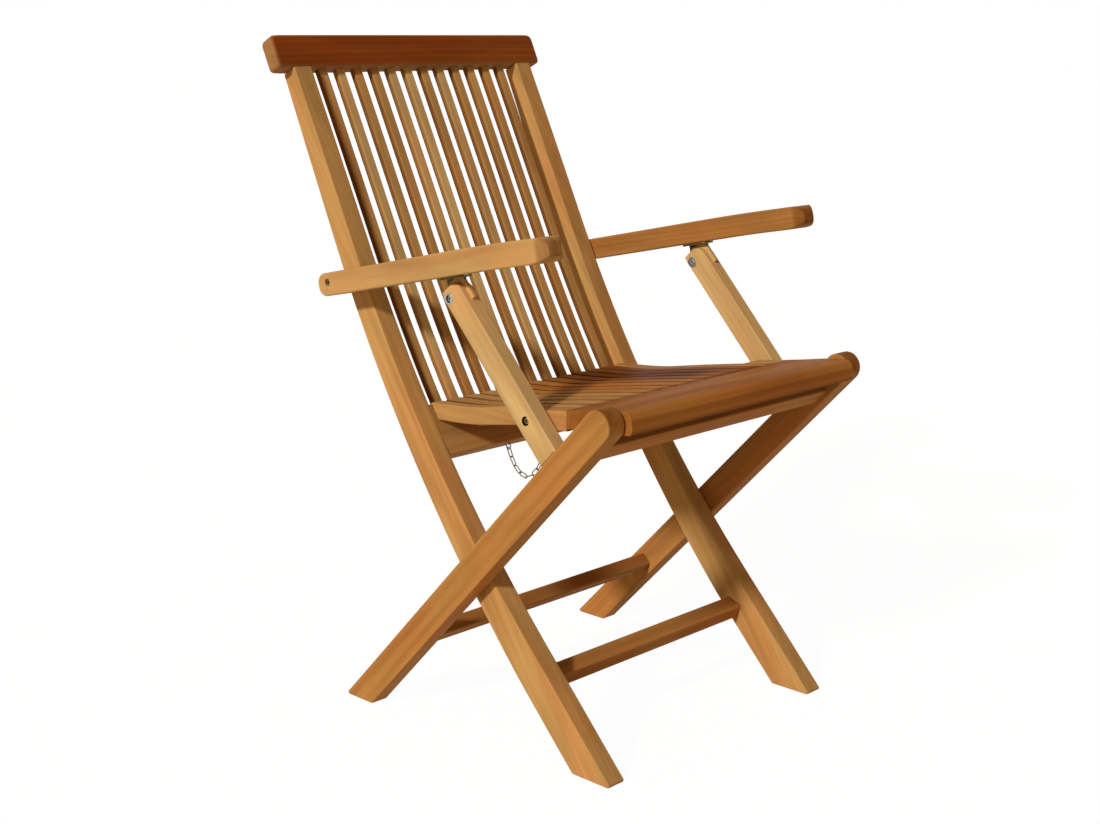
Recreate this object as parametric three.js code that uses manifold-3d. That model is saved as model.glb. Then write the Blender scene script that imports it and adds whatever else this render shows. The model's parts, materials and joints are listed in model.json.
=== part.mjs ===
// Folding teak armchair with a slatted seat and a slatted, curved back.
// Millimetres. x runs to the right seen from the front, y to the back, z up.
import * as THREE from "three";
import { mergeVertices } from "three/addons/utils/BufferGeometryUtils.js";
import Module from "manifold-3d";

const wasm = await Module();
wasm.setup();

// Driving sizes of the whole chair
const chairHeight = 890;
const insideWidth = 378.8; // between the two stiles
const layerGap = 1.5; // between the stiles' layer and the rear legs' layer
const fit = 0.3; // clearance round every tenon, slat end and pin
const overrun = 5; // how far a cut runs past the wood
const weld = 0.001; // points nearer than this are one
const arcSteps = 4; // in a quarter turn
const roundSides = 14; // of bolts, pins and their holes
const smallSides = 8; // of screws and chain links
const wireSides = 6;
const edgeSteps = 2;

// Stiles: the long curved members, from the front feet up to the top rail
const stileThickness = 29;
const footLean = THREE.MathUtils.degToRad(43.2);
const backLean = THREE.MathUtils.degToRad(25);
const stileStraight = 138.6;
const stileBend = 1973;
const stileFootWidth = 47.9;
const stileStationShares = [0, 0.13, 0.28, 0.38, 0.5, 0.6, 0.7, 0.81, 0.92, 1];
const stileWidthShares = [1, 1, 0.888, 0.823, 0.78, 0.758, 0.726, 0.66, 0.568, 0.48];
const stileEdge = 1.6;
const stileSteps = 20;

// Top rail
const railHeight = 45.6;
const railThickness = 25;
const railOverhang = 16;
const railCorner = 12;
const railEdge = 3;
const stileTenonLength = 24;
const stileTenonDepth = 11;
const stileTenonWidth = 17;

// Lower back rail
const backRailAlong = 458;
const backRailHeight = 73;
const backRailThickness = 22.2;
const backRailSetback = 0.6;
const backRailEdge = 1.5;
const railTenonLength = 14;
const railTenonShoulder = 5;

// Back slats
const backSlatCount = 12;
const backSlatInset = 25.225; // outermost slat's middle, in from the stile
const backSlatWidth = 15;
const backSlatThickness = 10;
const backSlatSetback = 9.6;
const backSlatRound = 2.8;
const slatHousing = 9;
const slatSteps = 10;

// Rear legs: they cross the stiles outside and carry the front of the seat
const legThickness = 28;
const legWidth = 39.5;
const legLean = THREE.MathUtils.degToRad(44.4);
const legEdge = 1.6;
const crossAlong = 290.8; // the crossing pivot, up the stile
const crossForward = 6.7; // and in front of the stile's centreline
const crossBelowAxis = 6.3; // and under the leg's centreline
const pivotSpacing = 326.4; // crossing pivot to seat pivot, along the leg
const pinRadius = 4;
const pinReach = 14;

// Rails across the chair
const stretcherUp = 143.2;
const stretcherBehind = 10.2;
const stretcherHeight = 21.4;
const stretcherDepth = 24.7;
const stretcherTilt = THREE.MathUtils.degToRad(-22);
const rearStretcherDown = 481.4;
const rearStretcherHeight = 20;
const rearStretcherDepth = 21;
const frontRailDown = 47;
const frontRailForward = 3;
const frontRailHeight = 28;
const frontRailDepth = 20;
const crossRailEdge = 2.4;

// Seat
const seatCrown = 15; // top of the seat's front over the seat pivot
const seatDrop = 49; // rear of the seat under its front
const seatRiseShares = [0, 0.13, 0.33, 0.57, 0.81, 0.95, 1];
const seatRunShares = [0, 0.23, 0.39, 0.59, 0.81, 0.925, 1];
const seatRearGap = 1;
const seatNose = 28; // front of the seat, ahead of the pivot
const noseRound = 12;
const noseUnder = 12; // underside of the nose, under the pivot
const frontSlatDepth = 102;
const frontSlatRear = 22;
const seatSlatWidth = 23.4;
const seatSlatDepth = 20;
const seatSlatRound = 2.2;
const seatSlatCount = 11;
const seatSlatInset = 40.15; // outermost slat's middle, in from the stile
const sideRailGap = 2.4; // between the side rail and the stile
const sideRailRear = 22.2;
const sideRailFront = 25;
const cheekDepth = 25;
const cheekBehindBolt = 12;
const cheekRound = 8;
const seatEdge = 1.6;
const seatSteps = 9;
const cheekSteps = 6;
const battenWidth = 32;
const battenDepth = 9;
const battenPlaceShares = [0.2, 0.58];

// Arms and their brackets
const armWidth = 44;
const armThickness = 30;
const armRise = THREE.MathUtils.degToRad(11.5);
const armPivotUp = 721.8; // along the stile
const armPivotAbove = 2.5; // over the arm's centreline
const armBehindPivot = 19.5;
const armAhead = 399;
const armBow = 3; // how far the arm's tip drops under its straight line
const armBowStart = 238; // ahead of the bolt
const armBowSteps = 5;
const armTipRound = 13; // over the front end
const armTipUnder = 28; // length of the curve under the front end
const armTipLift = 10; // and its height
const armRearRound = 8;
const armFrontCorner = 13; // cut off at 45 degrees
const armRearCorner = 5;
const armEdge = 3;
const supportPivotAhead = 204.9;
const supportPivotDown = 43.8;
const flangeLength = 42;
const flangeWidth = 22;
const flangeThickness = 2.5;
const flangeAhead = 6; // centre of the flange, ahead of the bolt
const tongueThickness = 3;
const tongueTop = 34;
const tongueEnd = 9;

// Supports: from the arms' brackets down to the seat
const supportThickness = 22;
const supportWidth = 33.7;
const supportLean = THREE.MathUtils.degToRad(42.3);
const supportBackEdge = 8; // behind the bracket bolt
const supportTop = 12;
const supportTopCorner = 7;
const supportTopFront = 15;
const supportEdge = 1.6;
const supportLegGap = 1.2;
const slotClearance = 0.6;
const slotBelow = 20;
const seatBoltAlong = 185.7;
const seatBoltForward = 8.2;

// Bolts
const boltRadius = 3;
const boltHeadRadius = 4.6;
const boltHeadDepth = 4;
const boltSocketRadius = 2.2;
const boltSocketDepth = 2.6;
const headRecess = 1.5;
const boltReach = 22; // into the stile
const armBoltShort = 2; // the arm bolt stops inside the arm, so the linkage opens there

// Safety chain and its screw eyes
const chainSlat = 2; // seat slats from the left end before the chain's own
const chainAside = 7.5; // from that slat's middle
const chainLinkCount = 12;
const linkPitch = 13;
const linkWire = 1.5;
const linkWidth = 7;
const linkBite = 0.3; // links press into each other this far
const eyeWire = 2;
const eyeRadius = 4;
const eyeShank = 12;
const eyeShankRadius = 1.3;
const rearEyeInset = 6;
const frontEyeBehind = 236; // behind the seat pivot, on a slat's underside
const openHook = 0.4; // the last link stops this far under the eye
const sagLimit = 20; // bounds and rounds of the search for the chain's sag
const sagRounds = 60;

// The stile's centreline: straight at the foot, then a long arc, then straight again
const bendLength = stileBend * (footLean - backLean);
const bendStart = point(stileStraight * Math.sin(footLean), stileStraight * Math.cos(footLean));
const bendEnd = point(
  bendStart.x + stileBend * (Math.cos(backLean) - Math.cos(footLean)),
  bendStart.y + stileBend * (Math.sin(footLean) - Math.sin(backLean)),
);

function point(y, z) {
  return new THREE.Vector2(y, z);
}

// Lean from the vertical of the stile's centreline at a length along it.
function leanAt(along) {
  const turned = THREE.MathUtils.clamp((along - stileStraight) / stileBend, 0, footLean - backLean);
  return footLean - turned;
}

function centreAt(along) {
  if (along <= stileStraight) {
    return point(along * Math.sin(footLean), along * Math.cos(footLean));
  }
  const lean = leanAt(along);
  const past = Math.max(along - stileStraight - bendLength, 0);
  return point(
    bendStart.x + stileBend * (Math.cos(lean) - Math.cos(footLean)) + past * Math.sin(lean),
    bendStart.y + stileBend * (Math.sin(footLean) - Math.sin(lean)) + past * Math.cos(lean),
  );
}

// A point in the side view: so far along the stile, and so far in front of its centreline.
function onStile(along, forward) {
  const lean = leanAt(along);
  const centre = centreAt(along);
  return point(centre.x - forward * Math.cos(lean), centre.y + forward * Math.sin(lean));
}

// The top rail's upper front edge gives the chair its height.
const railTopAlong =
  stileStraight +
  bendLength +
  (chairHeight - (railThickness / 2) * Math.sin(backLean) - bendEnd.y) / Math.cos(backLean);
const railUnderAlong = railTopAlong - railHeight;

const stileWidths = new THREE.CubicInterpolant(
  stileStationShares.map((share) => share * railTopAlong),
  stileWidthShares.map((share) => share * stileFootWidth),
  1,
);

function stileHalf(along) {
  return stileWidths.evaluate(THREE.MathUtils.clamp(along, 0, railTopAlong))[0] / 2;
}

// Local places in the side view: along a leaning line, and across it to its front.
function local(origin, lean, along, forward) {
  return point(
    origin.x + along * Math.sin(lean) - forward * Math.cos(lean),
    origin.y + along * Math.cos(lean) + forward * Math.sin(lean),
  );
}

// Main pivots in the side view
const crossPivot = onStile(crossAlong, crossForward);
const legUp = -legLean;
const seatPivot = local(crossPivot, legUp, pivotSpacing, -crossBelowAxis);
const armPivot = centreAt(armPivotUp);
const armAlong = point(-Math.cos(armRise), Math.sin(armRise));
const armUp = point(Math.sin(armRise), Math.cos(armRise));

function onArm(ahead, up) {
  return armPivot.clone().addScaledVector(armAlong, ahead).addScaledVector(armUp, up);
}

const bracketPivot = onArm(supportPivotAhead, -supportPivotDown);

function onSupport(down, forward) {
  return local(bracketPivot, supportLean, -down, forward);
}

const seatBolt = onSupport(seatBoltAlong, seatBoltForward);

// Layers across the chair, from the middle outwards
const stileInner = insideWidth / 2;
const stileOuter = stileInner + stileThickness;
const legInner = stileOuter + layerGap;
const legOuter = legInner + legThickness;
const supportOuter = legInner + supportThickness;
const armOuter = legInner + armWidth;
const sideRailOuter = stileInner - sideRailGap;

// Spacing of the back slats and of the seat slats
const backPitch = (insideWidth - 2 * backSlatInset) / (backSlatCount - 1);
const seatPitch = (insideWidth - 2 * seatSlatInset) / (seatSlatCount - 1);
const chainAcross = (chainSlat - (seatSlatCount - 1) / 2) * seatPitch + chainAside;

// The x range of a layer on one side of the chair.
function layer(side, inner, outer) {
  return side < 0 ? [-outer, -inner] : [inner, outer];
}

// Side outlines are drawn with y to the right and z up, and swept along x.
const sideways = new THREE.Matrix4().makeBasis(
  new THREE.Vector3(0, 1, 0),
  new THREE.Vector3(0, 0, 1),
  new THREE.Vector3(1, 0, 0),
);

// A board with the given side outline, between two x places, its long edges eased.
function board(points, [from, to], edge = 0, turns = 1) {
  const geometry = new THREE.ExtrudeGeometry(new THREE.Shape(points), {
    depth: to - from - 2 * edge,
    bevelEnabled: edge > 0,
    bevelThickness: edge,
    bevelSize: edge,
    bevelOffset: -edge,
    bevelSegments: turns,
  });
  geometry.translate(0, 0, from + edge);
  return geometry.applyMatrix4(sideways);
}

// A cylinder along x.
function rod(centre, radius, [from, to]) {
  const geometry = new THREE.CylinderGeometry(radius, radius, to - from, roundSides);
  geometry.rotateZ(Math.PI / 2);
  return geometry.translate((from + to) / 2, centre.x, centre.y);
}

// A rectangle in the side view, lying along a leaning line.
function bar(origin, lean, [from, to], [back, front]) {
  return [
    local(origin, lean, from, back),
    local(origin, lean, to, back),
    local(origin, lean, to, front),
    local(origin, lean, from, front),
  ];
}

function solid(geometry) {
  const plain = new THREE.BufferGeometry();
  const faces = geometry.index ? geometry.toNonIndexed() : geometry;
  plain.setAttribute("position", faces.getAttribute("position"));
  const merged = mergeVertices(plain, weld);
  return new wasm.Manifold(
    new wasm.Mesh({
      numProp: 3,
      vertProperties: merged.getAttribute("position").array,
      triVerts: new Uint32Array(merged.index.array),
    }),
  );
}

function joined(...geometries) {
  return geometries.map(solid).reduce((whole, piece) => whole.add(piece));
}

function cut(whole, ...cutters) {
  return cutters.reduce((left, cutter) => left.subtract(solid(cutter)), whole);
}

const chair = new THREE.Group();
const materials = {
  teak: { color: 0xc0874a, roughness: 0.55, metalness: 0 },
  paleTeak: { color: 0xd9b06c, roughness: 0.55, metalness: 0 },
  darkTeak: { color: 0xa86c35, roughness: 0.55, metalness: 0 },
  steel: { color: 0xa9a59a, roughness: 0.35, metalness: 1 },
};

function addNode(name, material, whole) {
  const mesh = whole.getMesh();
  const indexed = new THREE.BufferGeometry();
  indexed.setAttribute("position", new THREE.BufferAttribute(mesh.vertProperties, mesh.numProp));
  indexed.setIndex(new THREE.BufferAttribute(mesh.triVerts, 1));
  const geometry = indexed.toNonIndexed();
  geometry.computeVertexNormals();
  const node = new THREE.Mesh(geometry, new THREE.MeshStandardMaterial(materials[material]));
  node.name = name;
  chair.add(node);
}

const sides = [
  ["left", -1],
  ["right", 1],
];

// An evenly spaced list from one value to another.
function steps(from, to, count) {
  return Array.from({ length: count + 1 }, (_, i) => from + ((to - from) * i) / count);
}

// Stiles

// Where a line in front of the stile's centreline comes down to the floor.
function floorAlong(forward) {
  return -forward * Math.tan(footLean);
}

function stileOutline() {
  const alongs = steps(0, railUnderAlong - fit, stileSteps);
  const front = alongs.map((along, i) => {
    const half = stileHalf(along);
    return onStile(i === 0 ? floorAlong(half) : along, half);
  });
  const back = alongs.map((along, i) => {
    const half = stileHalf(along);
    return onStile(i === 0 ? floorAlong(-half) : along, -half);
  });
  // The sole is level, so the lower steps of the back edge start above it.
  const above = back.filter((place, i) => i === 0 || place.y > back[0].y);
  return [...above, ...front.reverse()];
}

function stileTenon(grow) {
  return bar(
    centreAt(railUnderAlong),
    backLean,
    [-overrun, stileTenonLength + grow],
    [-stileTenonDepth / 2 - grow, stileTenonDepth / 2 + grow],
  );
}

function stileTenonSpan(side, grow) {
  const shoulder = (stileThickness - stileTenonWidth) / 2 - grow;
  return layer(side, stileInner + shoulder, stileOuter - shoulder);
}

// Section of the lower back rail, standing on the stile's line
const backRailMiddle = backRailAlong + backRailHeight / 2;
const backRailFront = stileHalf(backRailMiddle) - backRailSetback;
const backRailSpan = [-backRailHeight / 2, backRailHeight / 2];

function backRailSection(shoulder, grow) {
  return bar(
    centreAt(backRailMiddle),
    leanAt(backRailMiddle),
    [backRailSpan[0] + shoulder - grow, backRailSpan[1] - shoulder + grow],
    [backRailFront - backRailThickness + shoulder - grow, backRailFront - shoulder + grow],
  );
}

const stretcherCentre = onStile(stretcherUp, -stretcherBehind);

function stretcherSection(shoulder, grow) {
  const height = stretcherHeight / 2 - shoulder + grow;
  const depth = stretcherDepth / 2 - shoulder + grow;
  return bar(stretcherCentre, stretcherTilt, [-height, height], [-depth, depth]);
}

for (const [name, side] of sides) {
  const blank = joined(
    board(stileOutline(), layer(side, stileInner, stileOuter), stileEdge),
    board(stileTenon(0), stileTenonSpan(side, 0)),
  );
  const socket = layer(side, stileInner - overrun, stileInner + railTenonLength + fit);
  const stile = cut(
    blank,
    board(backRailSection(railTenonShoulder, fit), socket),
    board(stretcherSection(railTenonShoulder, fit), socket),
    rod(crossPivot, pinRadius + fit, layer(side, stileOuter - pinReach - fit, stileOuter + overrun)),
    rod(armPivot, boltRadius + fit, layer(side, stileOuter - boltReach - fit, stileOuter + overrun)),
  );
  addNode(`stile_${name}`, "teak", stile);
}

// Back slats follow the front edge of the stiles.
function slatLine(along, behind) {
  return onStile(along, stileHalf(along) - backSlatSetback - behind);
}

const slatBottom = backRailMiddle + backRailSpan[1] - slatHousing;
const slatTop = railUnderAlong + slatHousing;

function backSlat(x, grow, edge) {
  const alongs = steps(slatBottom - grow, slatTop + grow, slatSteps);
  const front = alongs.map((along) => slatLine(along, -grow));
  const back = alongs.map((along) => slatLine(along, backSlatThickness + grow));
  const half = backSlatWidth / 2 + grow;
  return board([...back, ...front.reverse()], [x - half, x + half], edge, edgeSteps);
}

function backSlatPlaces() {
  return Array.from({ length: backSlatCount }, (_, i) => (i - (backSlatCount - 1) / 2) * backPitch);
}

backSlatPlaces().forEach((x, i) => {
  const label = String(i + 1).padStart(2, "0");
  addNode(`back_slat_${label}`, i % 3 === 1 ? "darkTeak" : "teak", solid(backSlat(x, 0, backSlatRound)));
});

// Top rail: its face is a long rectangle with round corners, leaning with the back.
function topRail() {
  const half = stileOuter + railOverhang;
  const face = new THREE.Shape();
  face.moveTo(-half + railCorner, 0);
  face.lineTo(half - railCorner, 0);
  face.absarc(half - railCorner, railCorner, railCorner, -Math.PI / 2, 0);
  face.absarc(half - railCorner, railHeight - railCorner, railCorner, 0, Math.PI / 2);
  face.absarc(railCorner - half, railHeight - railCorner, railCorner, Math.PI / 2, Math.PI);
  face.absarc(railCorner - half, railCorner, railCorner, Math.PI, (3 * Math.PI) / 2);
  const geometry = new THREE.ExtrudeGeometry(face, {
    depth: railThickness - 2 * railEdge,
    bevelThickness: railEdge,
    bevelSize: railEdge,
    bevelOffset: -railEdge,
    bevelSegments: edgeSteps,
    curveSegments: arcSteps,
  });
  geometry.translate(0, 0, railEdge - railThickness / 2);
  geometry.rotateX(Math.PI / 2 - backLean);
  const under = centreAt(railUnderAlong);
  return geometry.translate(0, under.x, under.y);
}

addNode(
  "top_rail",
  "teak",
  cut(
    solid(topRail()),
    ...sides.map(([, side]) => board(stileTenon(fit), stileTenonSpan(side, fit))),
    ...backSlatPlaces().map((x) => backSlat(x, fit, 0)),
  ),
);

// Screw eyes and chain

function eyeRing(centre) {
  const ring = new THREE.TorusGeometry(eyeRadius, eyeWire / 2, wireSides, roundSides);
  ring.rotateY(Math.PI / 2);
  return ring.translate(centre.x, centre.y, centre.z);
}

// A closed ring with its shank going up into the wood.
function screwEye(top, up) {
  const centre = top.clone().addScaledVector(up, -eyeRadius - eyeWire / 2 - fit);
  const length = eyeShank + eyeWire;
  const shank = new THREE.CylinderGeometry(eyeShankRadius, eyeShankRadius, length, smallSides);
  shank.translate(0, (eyeShank - eyeWire) / 2, 0);
  const turn = new THREE.Quaternion().setFromUnitVectors(new THREE.Vector3(0, 1, 0), up);
  shank.applyQuaternion(turn).translate(top.x, top.y, top.z);
  return { whole: joined(eyeRing(centre), shank), centre };
}

function eyeHole(top, up) {
  const [radius, length] = [eyeShankRadius + fit, eyeShank + fit + overrun];
  const hole = new THREE.CylinderGeometry(radius, radius, length, smallSides);
  hole.translate(0, length / 2 - overrun, 0);
  const turn = new THREE.Quaternion().setFromUnitVectors(new THREE.Vector3(0, 1, 0), up);
  return hole.applyQuaternion(turn).translate(top.x, top.y, top.z);
}

const railUnder = local(
  centreAt(backRailMiddle),
  leanAt(backRailMiddle),
  backRailSpan[0],
  backRailFront - rearEyeInset,
);
const railLean = leanAt(backRailMiddle);
const rearEyeUp = new THREE.Vector3(0, Math.sin(railLean), Math.cos(railLean));
const rearEyeTop = new THREE.Vector3(chainAcross, railUnder.x, railUnder.y);
const rearEye = screwEye(rearEyeTop, rearEyeUp);
addNode("rear_screw_eye", "steel", rearEye.whole);

// Lower back rail between the stiles, tenoned into both and grooved for the slats
const tenonEnd = stileInner + railTenonLength;
addNode(
  "lower_back_rail",
  "teak",
  cut(
    joined(
      board(backRailSection(0, 0), [fit - stileInner, stileInner - fit], backRailEdge),
      board(backRailSection(railTenonShoulder, 0), [-tenonEnd, tenonEnd]),
    ),
    ...backSlatPlaces().map((x) => backSlat(x, fit, 0)),
    eyeHole(rearEyeTop, rearEyeUp),
  ),
);

addNode(
  "front_stretcher",
  "darkTeak",
  joined(
    board(stretcherSection(0, 0), [fit - stileInner, stileInner - fit], crossRailEdge),
    board(stretcherSection(railTenonShoulder, 0), [-tenonEnd, tenonEnd]),
  ),
);

// Rear legs

// A point so far down the leg from the seat pivot, and so far in front of its centreline.
function onLeg(down, forward) {
  return local(seatPivot, legUp, -down, forward);
}

const legFloor = seatPivot.y / Math.cos(legLean);

function legOutline() {
  const half = legWidth / 2;
  const slope = half * Math.tan(legLean);
  const round = steps(0, Math.PI, 3 * arcSteps).map((turn) =>
    onLeg(-half * Math.sin(turn), half * Math.cos(turn)),
  );
  return [onLeg(legFloor - slope, half), ...round, onLeg(legFloor + slope, -half)].reverse();
}

function crossRail(down, forward, height, depth, shoulder, grow) {
  const centre = onLeg(down, forward);
  const along = height / 2 - shoulder + grow;
  const across = depth / 2 - shoulder + grow;
  return bar(centre, legUp, [-along, along], [-across, across]);
}

const rearStretcher = [rearStretcherDown, 0, rearStretcherHeight, rearStretcherDepth];
const frontRail = [frontRailDown, frontRailForward, frontRailHeight, frontRailDepth];

for (const [name, side] of sides) {
  const socket = layer(side, legInner - overrun, legInner + railTenonLength + fit);
  const pinHole = layer(side, legInner - overrun, legInner + pinReach + fit);
  addNode(
    `rear_leg_${name}`,
    "darkTeak",
    cut(
      solid(board(legOutline(), layer(side, legInner, legOuter), legEdge)),
      board(crossRail(...rearStretcher, railTenonShoulder, fit), socket),
      board(crossRail(...frontRail, railTenonShoulder, fit), socket),
      rod(crossPivot, pinRadius + fit, pinHole),
      rod(seatPivot, pinRadius + fit, pinHole),
    ),
  );
}

const legTenonEnd = legInner + railTenonLength;
for (const [name, section] of [
  ["rear_stretcher", rearStretcher],
  ["lower_front_rail", frontRail],
]) {
  addNode(
    name,
    "darkTeak",
    joined(
      board(crossRail(...section, 0, 0), [fit - legInner, legInner - fit], crossRailEdge),
      board(crossRail(...section, railTenonShoulder, 0), [-legTenonEnd, legTenonEnd]),
    ),
  );
}

// Seat

// The seat's rear end lies against the front of the lower back rail.
const railTopFront = local(
  centreAt(backRailMiddle),
  railLean,
  backRailSpan[1],
  backRailFront + seatRearGap,
);

function seatRearAt(z) {
  return railTopFront.x + (z - railTopFront.y) * Math.tan(railLean);
}

const seatFrontTop = seatPivot.y + seatCrown;
const seatRearTop = seatFrontTop - seatDrop;
const seatFrontY = seatPivot.x - seatNose;
const crownY = seatFrontY + noseRound;
const seatTopLine = new THREE.CubicInterpolant(seatRunShares, seatRiseShares, 1);

function seatTop(y) {
  const run = (seatRearAt(seatRearTop) - y) / (seatRearAt(seatRearTop) - crownY);
  return seatRearTop + seatDrop * seatTopLine.evaluate(THREE.MathUtils.clamp(run, 0, 1))[0];
}

const frontSlatBack = seatFrontY + frontSlatDepth;

// Outline of a member whose top follows the seat from the rear to the front slat.
function seatOutline(rearDepth, frontDepth) {
  const front = frontSlatBack + fit;
  const rearTop = seatRearAt(seatRearTop);
  const rearLow = seatRearAt(seatRearTop - rearDepth);
  const top = steps(front, rearTop, seatSteps).map((y) => point(y, seatTop(y)));
  const under = steps(rearLow, front, seatSteps).map((y) => {
    const share = (rearLow - y) / (rearLow - front);
    return point(y, seatTop(y) - rearDepth - (frontDepth - rearDepth) * share);
  });
  return [...under, ...top];
}

function pairOf(inner, outer, outline, edge) {
  return sides.map(([name, side]) => [name, board(outline, layer(side, inner, outer), edge)]);
}

const sideRailInner = ((seatSlatCount + 1) / 2) * seatPitch - seatSlatWidth / 2;
for (const [name, rail] of pairOf(
  sideRailInner,
  sideRailOuter,
  seatOutline(sideRailRear, sideRailFront),
  seatEdge,
)) {
  addNode(`side_rail_${name}`, "teak", solid(rail));
}

// The seat's screw eye goes into the chain's slat.
const frontEyeY = seatPivot.x + frontEyeBehind;
const frontEyeTop = new THREE.Vector3(chainAcross, frontEyeY, seatTop(frontEyeY) - seatSlatDepth);
const frontEyeUp = new THREE.Vector3(0, 0, 1);
const frontEye = screwEye(frontEyeTop, frontEyeUp);
addNode("seat_screw_eye", "steel", frontEye.whole);

function seatSlat(x) {
  const half = seatSlatWidth / 2;
  const outline = seatOutline(seatSlatDepth, seatSlatDepth);
  return solid(board(outline, [x - half, x + half], seatSlatRound));
}

for (let i = 0; i < seatSlatCount; i += 1) {
  const x = (i - (seatSlatCount - 1) / 2) * seatPitch;
  const label = String(i + 1).padStart(2, "0");
  const slat = i === chainSlat ? cut(seatSlat(x), eyeHole(frontEyeTop, frontEyeUp)) : seatSlat(x);
  addNode(`seat_slat_${label}`, i % 4 === 2 ? "darkTeak" : "teak", slat);
}

// Front slat with its waterfall nose, across the full width between the rear legs
function frontSlatOutline() {
  const shape = new THREE.Shape();
  const under = seatPivot.y - noseUnder;
  shape.moveTo(frontSlatBack, seatTop(frontSlatBack) - frontSlatRear);
  for (const y of steps(frontSlatBack, crownY, cheekSteps)) {
    shape.lineTo(y, seatTop(y));
  }
  shape.quadraticCurveTo(seatFrontY, seatTop(crownY), seatFrontY, seatTop(crownY) - noseRound);
  shape.lineTo(seatFrontY, under + noseRound / 2);
  shape.quadraticCurveTo(seatFrontY, under, seatFrontY + noseRound / 2, under);
  return shape.getPoints(arcSteps).reverse();
}

const seatHalf = stileOuter;
addNode(
  "front_slat",
  "darkTeak",
  cut(
    solid(board(frontSlatOutline(), [-seatHalf, seatHalf], seatEdge)),
    ...sides.map(([, side]) =>
      rod(seatPivot, pinRadius + fit, layer(side, seatHalf - pinReach - fit, seatHalf + overrun)),
    ),
  ),
);

// Cheeks: blocks outside the side rails that take the supports' bolts
function cheekOutline() {
  const front = frontSlatBack + fit;
  const rear = seatBolt.x + cheekBehindBolt;
  const top = steps(front, rear - cheekRound, cheekSteps).map((y) => point(y, seatTop(y)));
  const under = steps(rear, front, cheekSteps).map((y) => point(y, seatTop(y) - cheekDepth));
  const corner = seatTop(rear) - cheekRound / 2;
  return [...under, ...top, point(rear, corner)];
}

for (const [name, side] of sides) {
  addNode(
    `cheek_${name}`,
    "teak",
    cut(
      solid(board(cheekOutline(), layer(side, sideRailOuter + fit, stileOuter), seatEdge)),
      rod(seatBolt, boltRadius + fit, layer(side, stileOuter - boltReach - fit, stileOuter + overrun)),
    ),
  );
}

// Battens screwed under the slats, from side rail to side rail
battenPlaceShares.forEach((share, i) => {
  const rear = seatRearAt(seatRearTop);
  const middle = rear + (frontSlatBack - rear) * share;
  const [back, front] = [middle + battenWidth / 2, middle - battenWidth / 2];
  const seat = (y) => seatTop(y) - seatSlatDepth - fit;
  const outline = [
    point(front, seat(front) - battenDepth),
    point(back, seat(back) - battenDepth),
    point(back, Math.min(seat(back), seat(front))),
    point(front, seat(front)),
  ];
  const reach = sideRailInner - fit;
  addNode(`batten_${i + 1}`, "teak", solid(board(outline, [-reach, reach], seatEdge)));
});

// Arms
const armTop = armThickness / 2 - armPivotAbove;
const armUnder = armTop - armThickness;
const armSideways = new THREE.Matrix4()
  .makeBasis(
    new THREE.Vector3(0, armAlong.x, armAlong.y),
    new THREE.Vector3(1, 0, 0),
    new THREE.Vector3(0, armUp.x, armUp.y),
  )
  .setPosition(0, armPivot.x, armPivot.y);

// The arm dips a little towards its front end.
function armDrop(ahead) {
  const share = Math.max(ahead - armBowStart, 0) / (armAhead - armBowStart);
  return armBow * share * share;
}

function armOutline() {
  const rear = armRearRound - armBehindPivot;
  const frontUnder = armAhead - armTipUnder;
  const frontTop = armAhead - armTipRound;
  const shape = new THREE.Shape();
  shape.moveTo(rear, armUnder);
  for (const ahead of steps(armBowStart, frontUnder, armBowSteps)) {
    shape.lineTo(ahead, armUnder);
  }
  shape.absellipse(frontUnder, armUnder + armTipLift, armTipUnder, armTipLift, -Math.PI / 2, 0);
  shape.absarc(frontTop, armTop - armTipRound, armTipRound, 0, Math.PI / 2);
  for (const ahead of steps(frontTop, armBowStart, armBowSteps)) {
    shape.lineTo(ahead, armTop);
  }
  shape.absarc(rear, armTop - armRearRound, armRearRound, Math.PI / 2, Math.PI);
  shape.absarc(rear, armUnder + armRearRound, armRearRound, Math.PI, (3 * Math.PI) / 2);
  return shape.getPoints(arcSteps / 2).map((place) => onArm(place.x, place.y - armDrop(place.x)));
}

// Blocks that take the arm's upright corners off at 45 degrees
function armCorners(side) {
  const [from, to] = layer(side, legInner, armOuter);
  const ends = [
    [armAhead, armFrontCorner, 1],
    [-armBehindPivot, armRearCorner, -1],
  ];
  return ends.flatMap(([ahead, corner, way]) =>
    [
      [from, -1],
      [to, 1],
    ].map(([x, out]) => {
      const off = (corner - corner / Math.SQRT2) / Math.SQRT2;
      const block = new THREE.BoxGeometry(2 * corner, 2 * corner, 2 * armThickness);
      block.rotateZ(Math.PI / 4).translate(ahead + way * off, x + out * off, 0);
      return block.applyMatrix4(armSideways);
    }),
  );
}

const headRoom = boltHeadDepth + headRecess;

for (const [name, side] of sides) {
  addNode(
    `arm_${name}`,
    "paleTeak",
    cut(
      solid(board(armOutline(), layer(side, legInner, armOuter), armEdge, edgeSteps)),
      ...armCorners(side),
      rod(armPivot, boltRadius + fit, layer(side, legInner - overrun, armOuter + overrun)),
      rod(armPivot, boltHeadRadius + fit, layer(side, armOuter - headRoom, armOuter + overrun)),
    ),
  );
}

// Brackets: a flange screwed under the arm and a tongue hanging in the support's slot
const supportMiddle = (legInner + supportOuter) / 2;

function tongueOutline() {
  const top = supportPivotDown + armUnder;
  const end = steps(0, Math.PI, 2 * arcSteps).map((turn) =>
    point(-tongueEnd * Math.cos(turn), -tongueEnd * Math.sin(turn)),
  );
  const flat = [tongueTop - tongueEnd, -tongueEnd].map((ahead) => point(ahead, top - flangeThickness));
  return [...flat, ...end].map((place) =>
    onArm(supportPivotAhead + place.x, place.y - supportPivotDown),
  );
}

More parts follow.
